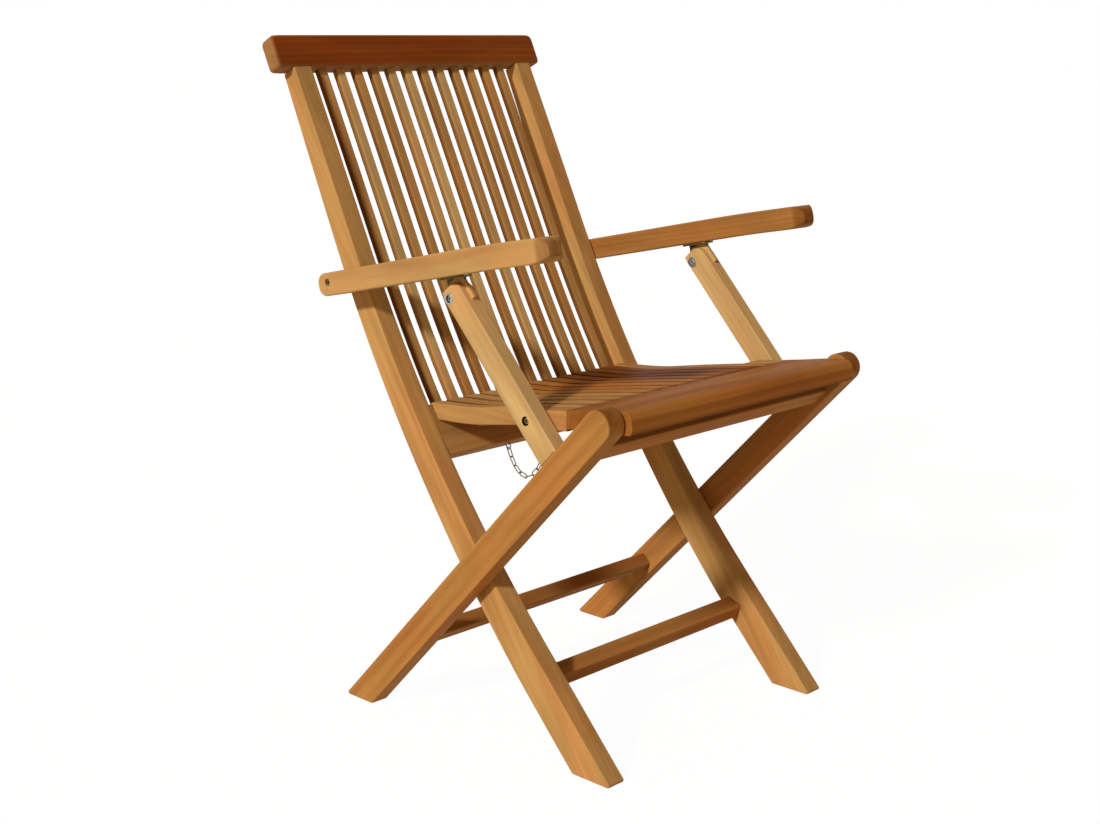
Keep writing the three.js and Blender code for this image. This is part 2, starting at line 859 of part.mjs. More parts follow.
function flangeOutline() {
  const middle = supportPivotAhead + flangeAhead;
  const [low, high] = [armUnder - fit - flangeThickness, armUnder - fit];
  const half = flangeLength / 2;
  return [
    onArm(middle - half, low),
    onArm(middle - half, high),
    onArm(middle + half, high),
    onArm(middle + half, low),
  ];
}

for (const [name, side] of sides) {
  const tongue = layer(side, supportMiddle - tongueThickness / 2, supportMiddle + tongueThickness / 2);
  const flange = layer(side, supportMiddle - flangeWidth / 2, supportMiddle + flangeWidth / 2);
  addNode(
    `bracket_${name}`,
    "steel",
    cut(
      joined(board(tongueOutline(), tongue), board(flangeOutline(), flange)),
      rod(bracketPivot, boltRadius + fit, layer(side, legInner, supportOuter)),
    ),
  );
}

// Supports
function supportOutline() {
  const back = -supportBackEdge;
  const front = supportWidth - supportBackEdge;
  const corner = (forward, radius, from) =>
    steps(from, from + Math.PI / 2, arcSteps).map((turn) =>
      onSupport(radius - supportTop - radius * Math.sin(turn), forward + radius * Math.cos(turn)),
    );
  const legEdgeDown = (forward) => {
    const place = onSupport(0, forward);
    const step = point(-Math.sin(supportLean), -Math.cos(supportLean));
    const normal = point(Math.cos(legLean), Math.sin(legLean));
    const edge = onLeg(0, -legWidth / 2 - supportLegGap);
    return edge.sub(place).dot(normal) / step.dot(normal);
  };
  return [
    onSupport(legEdgeDown(back), back),
    ...corner(back + supportTopCorner, supportTopCorner, Math.PI / 2).reverse(),
    ...corner(front - supportTopFront, supportTopFront, 0).reverse(),
    onSupport(legEdgeDown(front), front),
  ];
}

for (const [name, side] of sides) {
  const slotHalf = tongueThickness / 2 + slotClearance;
  const slot = bar(
    bracketPivot,
    supportLean,
    [-slotBelow, supportTop + overrun],
    [-supportBackEdge - overrun, supportWidth - supportBackEdge + overrun],
  );
  addNode(
    `support_${name}`,
    "paleTeak",
    cut(
      solid(board(supportOutline(), layer(side, legInner, supportOuter), supportEdge)),
      board(slot, layer(side, supportMiddle - slotHalf, supportMiddle + slotHalf)),
      rod(bracketPivot, boltRadius + fit, layer(side, legInner - overrun, supportOuter + overrun)),
      rod(seatBolt, boltRadius + fit, layer(side, legInner - overrun, supportOuter + overrun)),
      rod(bracketPivot, boltHeadRadius + fit, layer(side, supportOuter - headRoom, supportOuter + overrun)),
      rod(seatBolt, boltHeadRadius + fit, layer(side, supportOuter - headRoom, supportOuter + overrun)),
    ),
  );
}

// Bolts and pins

// A round-headed bolt with a socket in its head, pointing inwards from its outer place.
function bolt(centre, side, outer, inner) {
  const head = outer - headRecess;
  const profile = [
    point(0, inner),
    point(boltRadius, inner),
    point(boltRadius, head - boltHeadDepth),
    point(boltHeadRadius, head - boltHeadDepth),
    point(boltHeadRadius, head),
    point(boltSocketRadius, head),
    point(boltSocketRadius, head - boltSocketDepth),
    point(0, head - boltSocketDepth),
  ];
  const geometry = new THREE.LatheGeometry(profile, roundSides);
  geometry.rotateZ(-side * (Math.PI / 2));
  return geometry.translate(0, centre.x, centre.y);
}

for (const [name, side] of sides) {
  for (const [place, centre, outer, inner] of [
    ["arm", armPivot, armOuter, legInner + armBoltShort],
    ["bracket", bracketPivot, supportOuter, legInner],
    ["seat", seatBolt, supportOuter, stileOuter - boltReach],
  ]) {
    addNode(`${place}_bolt_${name}`, "steel", solid(bolt(centre, side, outer, inner)));
  }
  const pin = layer(side, stileOuter - pinReach, legInner + pinReach);
  addNode(`cross_pin_${name}`, "steel", solid(rod(crossPivot, pinRadius, pin)));
  addNode(`seat_pin_${name}`, "steel", solid(rod(seatPivot, pinRadius, pin)));
}

// Chain: short links on a hanging curve between the two eyes
function chainLink(middle, direction, length, turned) {
  const round = (linkWidth - linkWire) / 2;
  const ring = new THREE.TorusGeometry(round, linkWire / 2, wireSides, smallSides);
  const stretch = (length + linkWire - linkBite) / 2 - round;
  const places = ring.getAttribute("position");
  for (let i = 0; i < places.count; i += 1) {
    places.setX(i, places.getX(i) + Math.sign(Math.round(places.getX(i) / weld)) * stretch);
  }
  const along = new THREE.Vector3(0, direction.x, direction.y);
  const across = new THREE.Vector3(1, 0, 0);
  const flat = new THREE.Vector3().crossVectors(along, across);
  const basis = turned
    ? new THREE.Matrix4().makeBasis(along, flat, new THREE.Vector3().crossVectors(along, flat))
    : new THREE.Matrix4().makeBasis(along, across, flat);
  return ring.applyMatrix4(basis).translate(chainAcross, middle.x, middle.y);
}

// The hanging curve of a given length between two points, as places along it.
function hanging(from, to, length, count) {
  const run = to.x - from.x;
  const rise = to.y - from.y;
  const wanted = Math.sqrt(length * length - rise * rise) / Math.abs(run);
  let [low, high] = [weld, sagLimit];
  for (let i = 0; i < sagRounds; i += 1) {
    const middle = (low + high) / 2;
    if (Math.sinh(middle) / middle < wanted) {
      low = middle;
    } else {
      high = middle;
    }
  }
  const sag = Math.abs(run) / (2 * low);
  const lowest = Math.asinh(rise / (2 * sag * Math.sinh(low))) * sag - Math.abs(run) / 2;
  const start = Math.sinh(lowest / sag) * sag;
  return steps(0, length, count).map((gone) => {
    const u = Math.asinh((start + gone) / sag) * sag;
    return point(
      from.x + Math.sign(run) * (u - lowest),
      from.y + sag * (Math.cosh(u / sag) - Math.cosh(lowest / sag)),
    );
  });
}

function chain() {
  const hook = eyeRadius - eyeWire / 2 - linkWire / 2 - fit;
  const from = point(rearEye.centre.y, rearEye.centre.z - hook);
  const below = eyeRadius + eyeWire / 2 + openHook + linkWire / 2;
  const to = point(frontEye.centre.y, frontEye.centre.z - below);
  const places = hanging(from, to, chainLinkCount * linkPitch, chainLinkCount);
  const links = places.slice(1).map((place, i) => {
    const before = places[i];
    const middle = before.clone().add(place).multiplyScalar(1 / 2);
    const step = place.clone().sub(before);
    return chainLink(middle, step.clone().normalize(), step.length(), i % 2 === 1);
  });
  return joined(...links);
}

addNode("chain", "steel", chain());

// The chair stands on the floor, with the middle of its outline over the origin,
// and its joints' places go with it.
const box = new THREE.Box3().setFromObject(chair);
const middle = box.getCenter(new THREE.Vector3());
chair.position.y = -middle.y;
chair.userData.pivots = {
  cross: [crossPivot.x - middle.y, crossPivot.y],
  seat: [seatPivot.x - middle.y, seatPivot.y],
  arm: [armPivot.x - middle.y, armPivot.y],
  bracket: [bracketPivot.x - middle.y, bracketPivot.y],
  seatBolt: [seatBolt.x - middle.y, seatBolt.y],
};

export default chair;
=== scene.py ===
"""Looks of a folding teak armchair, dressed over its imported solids.

Sizes are in millimetres and become metres where a mesh is made. x runs to the right seen from
the front, y to the back and z up, as in the frame. Side views are drawn as (y, z).
"""

import json
import math

import bpy
import numpy as np
from mathutils import Matrix, Vector


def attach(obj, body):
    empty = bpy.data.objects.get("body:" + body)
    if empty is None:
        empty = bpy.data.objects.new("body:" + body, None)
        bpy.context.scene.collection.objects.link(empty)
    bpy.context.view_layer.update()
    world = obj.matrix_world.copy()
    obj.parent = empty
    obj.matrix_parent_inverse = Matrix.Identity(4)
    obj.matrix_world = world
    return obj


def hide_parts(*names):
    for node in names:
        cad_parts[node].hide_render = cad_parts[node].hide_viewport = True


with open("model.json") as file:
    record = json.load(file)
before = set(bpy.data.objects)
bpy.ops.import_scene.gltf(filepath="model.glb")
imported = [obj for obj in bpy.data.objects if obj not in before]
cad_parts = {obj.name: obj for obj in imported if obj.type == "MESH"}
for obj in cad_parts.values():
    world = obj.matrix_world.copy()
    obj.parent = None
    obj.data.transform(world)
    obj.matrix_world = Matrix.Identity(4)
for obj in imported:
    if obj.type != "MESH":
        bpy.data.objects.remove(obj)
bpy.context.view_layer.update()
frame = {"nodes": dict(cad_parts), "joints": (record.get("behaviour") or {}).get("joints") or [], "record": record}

MM = 0.001
BODY_OF = {
    node: body
    for body, nodes in frame["record"]["behaviour"]["bodies"].items()
    for node in nodes
}
JOINTS = {joint["name"]: joint for joint in frame["joints"]}
SIDES = (("left", -1), ("right", 1))
RIGHT, BACK, UP = (1, 0, 0), (0, 1, 0), (0, 0, 1)

# Whole chair
CHAIR_HEIGHT = 890
INSIDE_WIDTH = 378.8
LAYER_GAP = 1.5
FIT = 0.3

# Stiles
STILE_THICK = 29
FOOT_LEAN = math.radians(43.2)
BACK_LEAN = math.radians(25)
STILE_STRAIGHT = 138.6
STILE_BEND = 1973
STILE_FOOT = 47.9
STILE_EDGE, STILE_CORNER, STILE_STEPS = 2.2, 3, 41
STILE_AXIS = (0, 0.56, 0.83)  # the stiles' run from end to end, which the grain follows
STATION_SHARES = np.array([0, 0.13, 0.28, 0.38, 0.5, 0.6, 0.7, 0.81, 0.92, 1])
WIDTH_SHARES = np.array([1, 1, 0.888, 0.823, 0.78, 0.758, 0.726, 0.66, 0.568, 0.48])

# Top rail and lower back rail
RAIL_HEIGHT, RAIL_THICK, RAIL_OVERHANG, RAIL_CORNER = 45.6, 25, 23, 9
RAIL_LOW_CORNER, RAIL_END_RUN = 6, 18
RAIL_EDGES = (5, 3, 3, 5, 5, 4, 4, 5)  # softest at the ends, which hands wear
BACK_RAIL_ALONG, BACK_RAIL_HEIGHT, BACK_RAIL_THICK, BACK_RAIL_SETBACK = 458, 73, 22.2, 0.6
BACK_RAIL_CORNER, CROSS_EDGE, CROSS_INTO = 2, 0.2, 0.5  # into the boards that hold them

# Back slats
SLAT_COUNT, SLAT_INSET, SLAT_WIDTH, SLAT_THICK, SLAT_SETBACK = 12, 25.225, 15, 10, 9.6
SLAT_EDGE, SLAT_HOUSED, SLAT_STEPS = 2.6, 2, 17

# Rear legs and the rails across the chair
LEG_THICK, LEG_WIDTH, LEG_EDGE, LEG_CORNER, CROWN_STEPS = 28, 39.5, 2.4, 3, 13
LEG_LEAN = math.radians(44.4)
CROSS_ALONG, CROSS_FORWARD, CROSS_BELOW, PIVOT_SPACING = 290.8, 6.7, 6.3, 326.4
STRETCHER_UP, STRETCHER_BEHIND, STRETCHER_HEIGHT, STRETCHER_DEPTH = 143.2, 10.2, 21.4, 24.7
STRETCHER_CORNER = 2.6
STRETCHER_TILT = math.radians(-22)
REAR_STRETCHER = (481.4, 0, 20, 21)  # down the leg, forward, height, depth
FRONT_RAIL = (47, 3, 28, 20)

# Seat
SEAT_CROWN, SEAT_DROP, SEAT_GAP, SEAT_NOSE = 15, 49, 1, 28
RISE_SHARES = np.array([0, 0.13, 0.33, 0.57, 0.81, 0.95, 1])
RUN_SHARES = np.array([0, 0.23, 0.39, 0.59, 0.81, 0.925, 1])
NOSE_ROUND, NOSE_UNDER, FRONT_SLAT_DEPTH, FRONT_SLAT_REAR = 12, 12, 102, 22
SEAT_SLAT_WIDTH, SEAT_SLAT_DEPTH, SEAT_SLAT_COUNT, SEAT_SLAT_INSET = 23.4, 20, 11, 40.15
SEAT_STEPS, SEAT_SLAT_CORNER, SEAT_SLAT_EDGE, FRONT_SLAT_EDGE = 19, 2, 1.3, 0.9
SIDE_RAIL_GAP, SIDE_RAIL_REAR, SIDE_RAIL_FRONT, SIDE_RAIL_CORNER = 2.4, 22.2, 25, 1.5
NOSE_STEPS, FRONT_SLAT_STEPS, CHEEK_STEPS = 9, 12, 13
CHEEK_DEPTH, CHEEK_BEHIND, CHEEK_CORNER, SIDE_EDGE = 25, 12, 5, 2
BATTEN_WIDTH, BATTEN_DEPTH, BATTEN_SHARES = 32, 9, (0.2, 0.58)
BATTEN_CORNER, BATTEN_EDGE = 2, 0.5

# Arms, brackets and supports
ARM_WIDTH, ARM_THICK = 44, 30
ARM_RISE = math.radians(11.5)
ARM_PIVOT_UP, ARM_PIVOT_ABOVE, ARM_BEHIND, ARM_AHEAD = 721.8, 2.5, 19.5, 399
ARM_BOW, ARM_BOW_START = 3, 238
ARM_TIP_ROUND, ARM_TIP_UNDER, ARM_TIP_LIFT, ARM_REAR_ROUND = 13, 28, 10, 12
ARM_FRONT_CORNER, ARM_REAR_CORNER = 13, 1.5
BRACKET_AHEAD, BRACKET_DOWN = 204.9, 43.8
FLANGE_LENGTH, FLANGE_WIDTH, FLANGE_THICK, FLANGE_FORWARD = 42, 22, 2.5, 6
FLANGE_CORNER, FLANGE_EDGE = 4, 0.4
TONGUE_THICK, TONGUE_TOP, TONGUE_END, TONGUE_EDGE, TONGUE_JOIN = 3, 34, 9, 0.3, 0.2
SUPPORT_THICK, SUPPORT_WIDTH = 22, 33.7
SUPPORT_LEAN = math.radians(42.3)
SUPPORT_BACK, SUPPORT_TOP, SUPPORT_TOP_BACK, SUPPORT_TOP_FRONT = 8, 12, 7, 15
SUPPORT_FOOT_CORNER, SUPPORT_EDGE = 1.5, 2
SUPPORT_LEG_GAP, SLOT_CLEARANCE, SLOT_BELOW = 1.2, 0.6, 20
ARM_RINGS, ARM_END_RINGS, ARM_REAR_STEP, ARM_TIP_STEP, TONGUE_STEPS = 40, 15, 3, 4, 6
SEAT_BOLT_ALONG, SEAT_BOLT_FORWARD = 185.7, 8.2

# Bolts, chain and screw eyes
BOLT_RADIUS, HEAD_RADIUS, HEAD_DEPTH, HEAD_RECESS = 3, 4.6, 4, 1.5
HEAD_DOME = ((0, 1.2), (0.4, 0.5), (1, 0.1), (1.5, 0))  # in from the rim, below the top
SOCKET_RADIUS, SOCKET_DEPTH, SOCKET_RIM, CHAMFER = 2.2, 2.6, 0.2, 0.3
SOCKET_MOUTH, SOCKET_FLAT = 0.92 * SOCKET_RADIUS, 0.86 * SOCKET_RADIUS
ARM_BOLT_SHORT, SEAT_BOLT_REACH, TURNED_SIDES, BORED_SIDES = 2, 22, 48, 32
OVERRUN, SHARP = 5, 0.001  # how far a cutter stands out of the wood, and its edges' radius
RING_RADIUS, RING_SUNK, RING_PROUD, RING_FIT, SEAT_BOLT_HOLLOW = 7.4, 0.7, 0.4, 0.1, 1.3
CHAIN_SLAT, CHAIN_ASIDE = 2, 7.5
LINK_COUNT, LINK_PITCH, LINK_WIRE, LINK_WIDTH, LINK_BITE = 12, 13, 1.5, 7, 0.3
EYE_WIRE, EYE_RADIUS, EYE_SHANK = 2, 4, 12
REAR_EYE_INSET, FRONT_EYE_BEHIND, OPEN_HOOK = 6, 236, 0.4
EYE_PROFILE = ((-0.6, 0.9), (0, 1.2), (2, 1.3), (4, 1.3), (EYE_SHANK, 1.3))  # up, radius
EYE_STEPS, SHANK_SIDES, LINK_STEPS, LINK_SIDES = 28, 12, 24, 8

# Teak's figure: the size of each thing along and across the grain
WANDER, FIBRE, PORE = (420, 90), (130, 1.6), (9, 0.4)
CLOUD, PATCH, BLUSH = (500, 40), (190, 24), (240, 60)
WANDER_BY, GROWTH_SPACING, PITH_ACROSS, PITH_THROUGH = 14, 7, 75, 50
NOISE_SPAN = (0.3, 0.72)  # where nearly all of a noise's values lie


# Places in the side view


def smooth_through(x, xs, ys):
    """A curve through points: between two of them a cubic whose slope at each point is the
    mean slope to its neighbours."""
    slopes = np.gradient(ys, xs)
    i = np.clip(np.searchsorted(xs, x) - 1, 0, len(xs) - 2)
    span = xs[i + 1] - xs[i]
    t = np.clip((x - xs[i]) / span, 0, 1)
    rise = (2 * t**3 - 3 * t**2 + 1) * ys[i] + (3 * t**2 - 2 * t**3) * ys[i + 1]
    bend = (t**3 - 2 * t**2 + t) * slopes[i] + (t**3 - t**2) * slopes[i + 1]
    return rise + bend * span


BEND_LENGTH = STILE_BEND * (FOOT_LEAN - BACK_LEAN)
BEND_START = STILE_STRAIGHT * np.array([math.sin(FOOT_LEAN), math.cos(FOOT_LEAN)])
BEND_RISE = BEND_START[1] + STILE_BEND * (math.sin(FOOT_LEAN) - math.sin(BACK_LEAN))
RAIL_TOP = (
    STILE_STRAIGHT
    + BEND_LENGTH
    + (CHAIR_HEIGHT - RAIL_THICK / 2 * math.sin(BACK_LEAN) - BEND_RISE)
    / math.cos(BACK_LEAN)
)
RAIL_UNDER = RAIL_TOP - RAIL_HEIGHT


def lean_at(along):
    """The stile's lean: one angle at the foot, turning evenly to another at the back."""
    turned = (np.asarray(along, float) - STILE_STRAIGHT) / STILE_BEND
    return FOOT_LEAN - np.clip(turned, 0, FOOT_LEAN - BACK_LEAN)


def on_stile(along, forward):
    """Straight up to the bend, round an arc of radius STILE_BEND, straight again; then a step
    forward, square to that line."""
    along = np.asarray(along, float)
    lean = lean_at(along)
    before = np.minimum(along, STILE_STRAIGHT)
    past = np.maximum(along - STILE_STRAIGHT - BEND_LENGTH, 0)
    y = before * math.sin(FOOT_LEAN) + past * np.sin(lean)
    z = before * math.cos(FOOT_LEAN) + past * np.cos(lean)
    y = y + STILE_BEND * (np.cos(lean) - math.cos(FOOT_LEAN)) - forward * np.cos(lean)
    z = z + STILE_BEND * (math.sin(FOOT_LEAN) - np.sin(lean)) + forward * np.sin(lean)
    return np.stack([y, z], -1)


def stile_half(along):
    share = np.clip(np.asarray(along, float) / RAIL_TOP, 0, 1)
    return smooth_through(share, STATION_SHARES, WIDTH_SHARES * STILE_FOOT) / 2


def local(origin, lean, along, forward):
    """From origin so far along a line that leans back, and so far square to it, forward."""
    along, forward = np.asarray(along, float), np.asarray(forward, float)
    y = origin[0] + along * math.sin(lean) - forward * math.cos(lean)
    z = origin[1] + along * math.cos(lean) + forward * math.sin(lean)
    return np.stack(np.broadcast_arrays(y, z), -1)


CROSS_PIVOT = on_stile(CROSS_ALONG, CROSS_FORWARD)
SEAT_PIVOT = local(CROSS_PIVOT, -LEG_LEAN, PIVOT_SPACING, -CROSS_BELOW)
ARM_PIVOT = on_stile(ARM_PIVOT_UP, 0)
SHIFT = JOINTS["leg_fold"]["pos_m"][1] / MM - CROSS_PIVOT[0]  # centres the chair over the origin


def in_frame(place, x=0):
    """A place of the side view as x, y and z in the frame."""
    return np.array([x, place[0] + SHIFT, place[1]])


def on_arm(ahead, up):
    """From the arm's bolt so far ahead along the rising arm, and so far up, square to it."""
    y = ARM_PIVOT[0] - ahead * math.cos(ARM_RISE) + up * math.sin(ARM_RISE)
    z = ARM_PIVOT[1] + ahead * math.sin(ARM_RISE) + up * math.cos(ARM_RISE)
    return np.stack(np.broadcast_arrays(y, z), -1)


BRACKET_PIVOT = on_arm(BRACKET_AHEAD, -BRACKET_DOWN)
SEAT_BOLT = local(BRACKET_PIVOT, SUPPORT_LEAN, -SEAT_BOLT_ALONG, SEAT_BOLT_FORWARD)

STILE_INNER = INSIDE_WIDTH / 2
STILE_OUTER = STILE_INNER + STILE_THICK
LEG_INNER = STILE_OUTER + LAYER_GAP
LEG_OUTER = LEG_INNER + LEG_THICK
SUPPORT_OUTER = LEG_INNER + SUPPORT_THICK
ARM_OUTER = LEG_INNER + ARM_WIDTH
SUPPORT_MIDDLE = (LEG_INNER + SUPPORT_OUTER) / 2
SIDE_RAIL_OUTER = STILE_INNER - SIDE_RAIL_GAP
BACK_PITCH = (INSIDE_WIDTH - 2 * SLAT_INSET) / (SLAT_COUNT - 1)
SEAT_PITCH = (INSIDE_WIDTH - 2 * SEAT_SLAT_INSET) / (SEAT_SLAT_COUNT - 1)
CHAIN_X = (CHAIN_SLAT - (SEAT_SLAT_COUNT - 1) / 2) * SEAT_PITCH + CHAIN_ASIDE

# Finishes


def linear(code):
    """An sRGB hex colour as the linear numbers that a shader takes."""
    parts = np.array([int(code[i : i + 2], 16) for i in (0, 2, 4)]) / 255
    return (*np.where(parts <= 0.04045, parts / 12.92, ((parts + 0.055) / 1.055) ** 2.4), 1)


def put(tree, kind, inputs, output=0, **settings):
    """Adds a shader node, its inputs as values or as sockets to link, and gives one output."""
    node = tree.nodes.new("ShaderNode" + kind)
    for name, value in settings.items():
        setattr(node, name, value)
    for name, value in inputs.items():
        if isinstance(value, bpy.types.NodeSocket):
            tree.links.new(value, node.inputs[name])
        else:
            node.inputs[name].default_value = value
    return node.outputs[output] if node.outputs else None


def new_material(name):
    material = bpy.data.materials.new(name)
    material.use_nodes = True
    material.node_tree.nodes.clear()
    return material, material.node_tree


def show(tree, shader):
    put(tree, "OutputMaterial", {"Surface": shader})


def teak(name, pale, middle, dark):
    """Teak, planed, sanded and oiled. Growth lines are noise over the distance from a pith line
    beside the board; fibres and pores are noise drawn out along the grain."""
    material, tree = new_material(name)

    def ranged(value, low, high, to_low=0.0, to_high=1.0):
        inputs = {0: value, 1: low, 2: high, 3: to_low, 4: to_high}
        return put(tree, "MapRange", inputs, interpolation_type="SMOOTHSTEP")

    def number(operation, first, second):
        return put(tree, "Math", {0: first, 1: second}, operation=operation)

    def vector(operation, first, second):
        return put(tree, "VectorMath", {0: first, 1: second}, operation=operation)

    def mixed(factor, first, second, blend="MIX"):
        inputs = {0: factor, 6: first, 7: second}
        return put(tree, "Mix", inputs, 2, data_type="RGBA", blend_type=blend)

    def noise(place, size, detail, rough=0.55, output=0):
        along, across = size
        scaled = vector("MULTIPLY", place, (1000 / along, 1000 / across, 1000 / across))
        inputs = {"Vector": scaled, "Scale": 1, "Detail": detail, "Roughness": rough}
        return put(tree, "TexNoise", inputs, output)

    def of_board(attribute, output="Fac"):
        return put(tree, "Attribute", {}, output, attribute_name=attribute)

    grain = of_board("grain", "Vector")
    ends, edges, tone = of_board("end"), of_board("edge"), of_board("tone")

    # The lines wander by a few millimetres over the length of a board.
    centred = vector("SUBTRACT", noise(grain, WANDER, 1, 0.5, output=1), (0.5,) * 3)
    wander = vector("MULTIPLY", centred, (0, WANDER_BY * MM, WANDER_BY * MM))
    bent = vector("ADD", grain, wander)
    # Distance from the pith, so end grain shows arcs and faces show long straight streaks.
    beside = (0, PITH_ACROSS * MM, PITH_THROUGH * MM)
    inputs = {0: bent, 1: (0, 1, 1), 2: beside}
    pith = put(tree, "VectorMath", inputs, operation="MULTIPLY_ADD")
    distance = put(tree, "VectorMath", {0: pith}, 1, operation="LENGTH")
    inputs = {"W": number("MULTIPLY", distance, 1000 / GROWTH_SPACING)}
    inputs |= {"Scale": 1, "Detail": 2, "Roughness": 0.5}
    growth = ranged(put(tree, "TexNoise", inputs, noise_dimensions="1D"), *NOISE_SPAN)
    # Fibres are finer than this in the wood; they are drawn 1.6 mm wide so that they show.
    fibres = noise(bent, FIBRE, 3)
    # Pores are 0.4 mm wide and some 9 mm long dashes.
    pores = ranged(noise(bent, PORE, 1), 0.64, 0.76)
    # Broad bands where the oil has gone in deeper, 40 mm across and half a metre long.
    clouds = ranged(noise(grain, CLOUD, 1.5), *NOISE_SPAN)

    colour = mixed(ranged(growth, 0, 1, 0.2, 0.54), linear(pale), linear(middle))
    colour = mixed(number("MULTIPLY", clouds, 0.4), colour, linear(middle))
    colour = mixed(ranged(fibres, 0.42, 0.85, 0, 0.3), colour, linear(dark))
    colour = mixed(number("MULTIPLY", pores, 0.22), colour, linear(dark))
    # The tone holds the board's own darkening and, on some faces, painted shade.
    colour = mixed(tone, colour, linear(dark))
    # The growth lines show through in darkened wood too.
    colour = mixed(tone, colour, ranged(growth, 0, 1, 1.1, 0.88), "MULTIPLY")
    # End grain has drunk more oil, so it is darker and browner than the faces.
    # On slat sides and on faces turned one way the same mask carries painted shade.
    colour = mixed(number("MULTIPLY", ends, 0.85), colour, linear("b09478"), "MULTIPLY")
    # Soft edges are rubbed a little paler.
    colour = mixed(number("MULTIPLY", edges, 0.2), colour, linear(pale))
    # Lighter and darker patches as long as a hand, where the growth lines come to the face.
    patches = number("ADD", number("MULTIPLY", fibres, 0.25), noise(bent, PATCH, 2))
    colour = mixed(1, colour, ranged(patches, 0.45, 0.8, 0.9, 1.13), "MULTIPLY")
    # Stretches of redder heartwood run into yellower ones along a board.
    blush = ranged(noise(grain, BLUSH, 1), 0.42, 0.66, 0, 0.6)
    colour = mixed(blush, colour, linear("ffe6dc"), "MULTIPLY")

    # Fibres stand up and pores lie open, and both make the sheen uneven.
    height = number("SUBTRACT", number("MULTIPLY", fibres, 0.6), number("MULTIPLY", pores, 0.5))
    bump = put(tree, "Bump", {"Strength": 0.25, "Distance": 0.3 * MM, "Height": height})
    rough = ranged(number("ADD", fibres, number("MULTIPLY", ends, 0.3)), 0.3, 0.9, 0.48, 0.66)
    inputs = {"Base Color": colour, "Roughness": rough, "Normal": bump}
    show(tree, put(tree, "BsdfPrincipled", inputs | {"IOR": 1.5, "Specular IOR Level": 0.02}))
    return material


def plated(name, hex_colour, dull, roughness):
    """Plated steel: an even metal with faint cloudy dulling, some 3 mm across, and fine pits."""
    material, tree = new_material(name)
    place = put(tree, "TexCoord", {}, "Object")
    cloud = put(tree, "TexNoise", {"Vector": place, "Scale": 330, "Detail": 3})
    inputs = {0: cloud, 6: linear(hex_colour), 7: linear(dull)}
    colour = put(tree, "Mix", inputs, 2, data_type="RGBA")
    inputs = {0: cloud, 1: 0.3, 2: 0.7, 3: roughness, 4: roughness + 0.18}
    rough = put(tree, "MapRange", inputs)
    bump = put(tree, "Bump", {"Strength": 0.2, "Distance": 0.2 * MM, "Height": cloud})
    inputs = {"Base Color": colour, "Metallic": 1, "Roughness": rough, "Normal": bump}
    show(tree, put(tree, "BsdfPrincipled", inputs))
    return material


FINISHES = {
    # Heartwood in golden brown: stiles, most slats, side rails, cheeks, back rail, battens
    "teak": teak("golden_teak_sanded_and_oiled", "cd9e5e", "b68243", "855320"),
    # Sapwood, straw yellow: the supports, the near arm and four back slats
    "pale_teak": teak("straw_teak_sapwood_sanded", "dcb678", "cca05d", "a9773a"),
    # Heartwood in orange brown: rear legs, stretchers, the far arm
    "dark_teak": teak("orange_brown_teak_sanded_and_oiled", "c78e4a", "ac7136", "7b4419"),
    # Heartwood in russet: the seat's front and its farther slats
    "russet_teak": teak("russet_teak_sanded_and_oiled", "c78840", "ab692b", "783e12"),
    # Dense old heartwood: the top rail
    "brown_teak": teak("deep_brown_teak_heartwood_oiled", "b38a58", "9c7442", "893c07"),
}
# Bright grey, freshly plated: the brackets' bolts, the screw eyes and the pins
ZINC = plated("zinc_plated_steel", "c9c6bd", "8d8a80", 0.28)
# Dull straw: the arms' and the seat's bolts and the chain
BRASSY = plated("yellow_passivated_steel", "a3925c", "5e5332", 0.34)
# Browned and duller still: the brackets under the arms
TARNISHED = plated("tarnished_yellow_passivated_steel", "8a7845", "463a20", 0.42)
# The frame's slot that each wood counts as: three have their own
SLOT_OF = {wood: wood for wood in FINISHES}
SLOT_OF |= {"russet_teak": "dark_teak", "brown_teak": "dark_teak"}

# Making meshes


def add_object(name, data):
    thing = bpy.data.objects.new(name, data)
    bpy.context.scene.collection.objects.link(thing)
    return thing


def to_object(name, places, faces, normals=None):
    """Puts points in millimetres into a mesh whose object sits at the origin."""
    mesh = bpy.data.meshes.new(name)
    mesh.from_pydata((np.asarray(places) * MM).tolist(), [], [tuple(f) for f in faces])
    mesh.update()
    mesh.polygons.foreach_set("use_smooth", np.ones(len(mesh.polygons), bool))
    if normals is not None:
        mesh.normals_split_custom_set_from_vertices(np.asarray(normals).tolist())
    return add_object(name, mesh)


def unit(vectors):
    return vectors / np.maximum(np.linalg.norm(vectors, axis=-1, keepdims=True), 1e-12)


def around(rings, count):
    """By number, the points of all rings but the last, and for each the next on its ring."""
    ring, step = np.meshgrid(np.arange(rings - 1), np.arange(count), indexing="ij")
    return ring * count + step, ring * count + (step + 1) % count


def quads(*corners):
    return np.stack(corners, -1).reshape(-1, 4)


def full_turn(count):
    return np.arange(count) * 2 * math.pi / count


def circle(turn, first, second):
    """Directions round a circle, from the first one towards the second."""
    return np.cos(turn) * first + np.sin(turn) * second


def quarter(count):
    return np.linspace(0, math.pi / 2, count)


def about(middle, width):
    return middle - width / 2, middle + width / 2


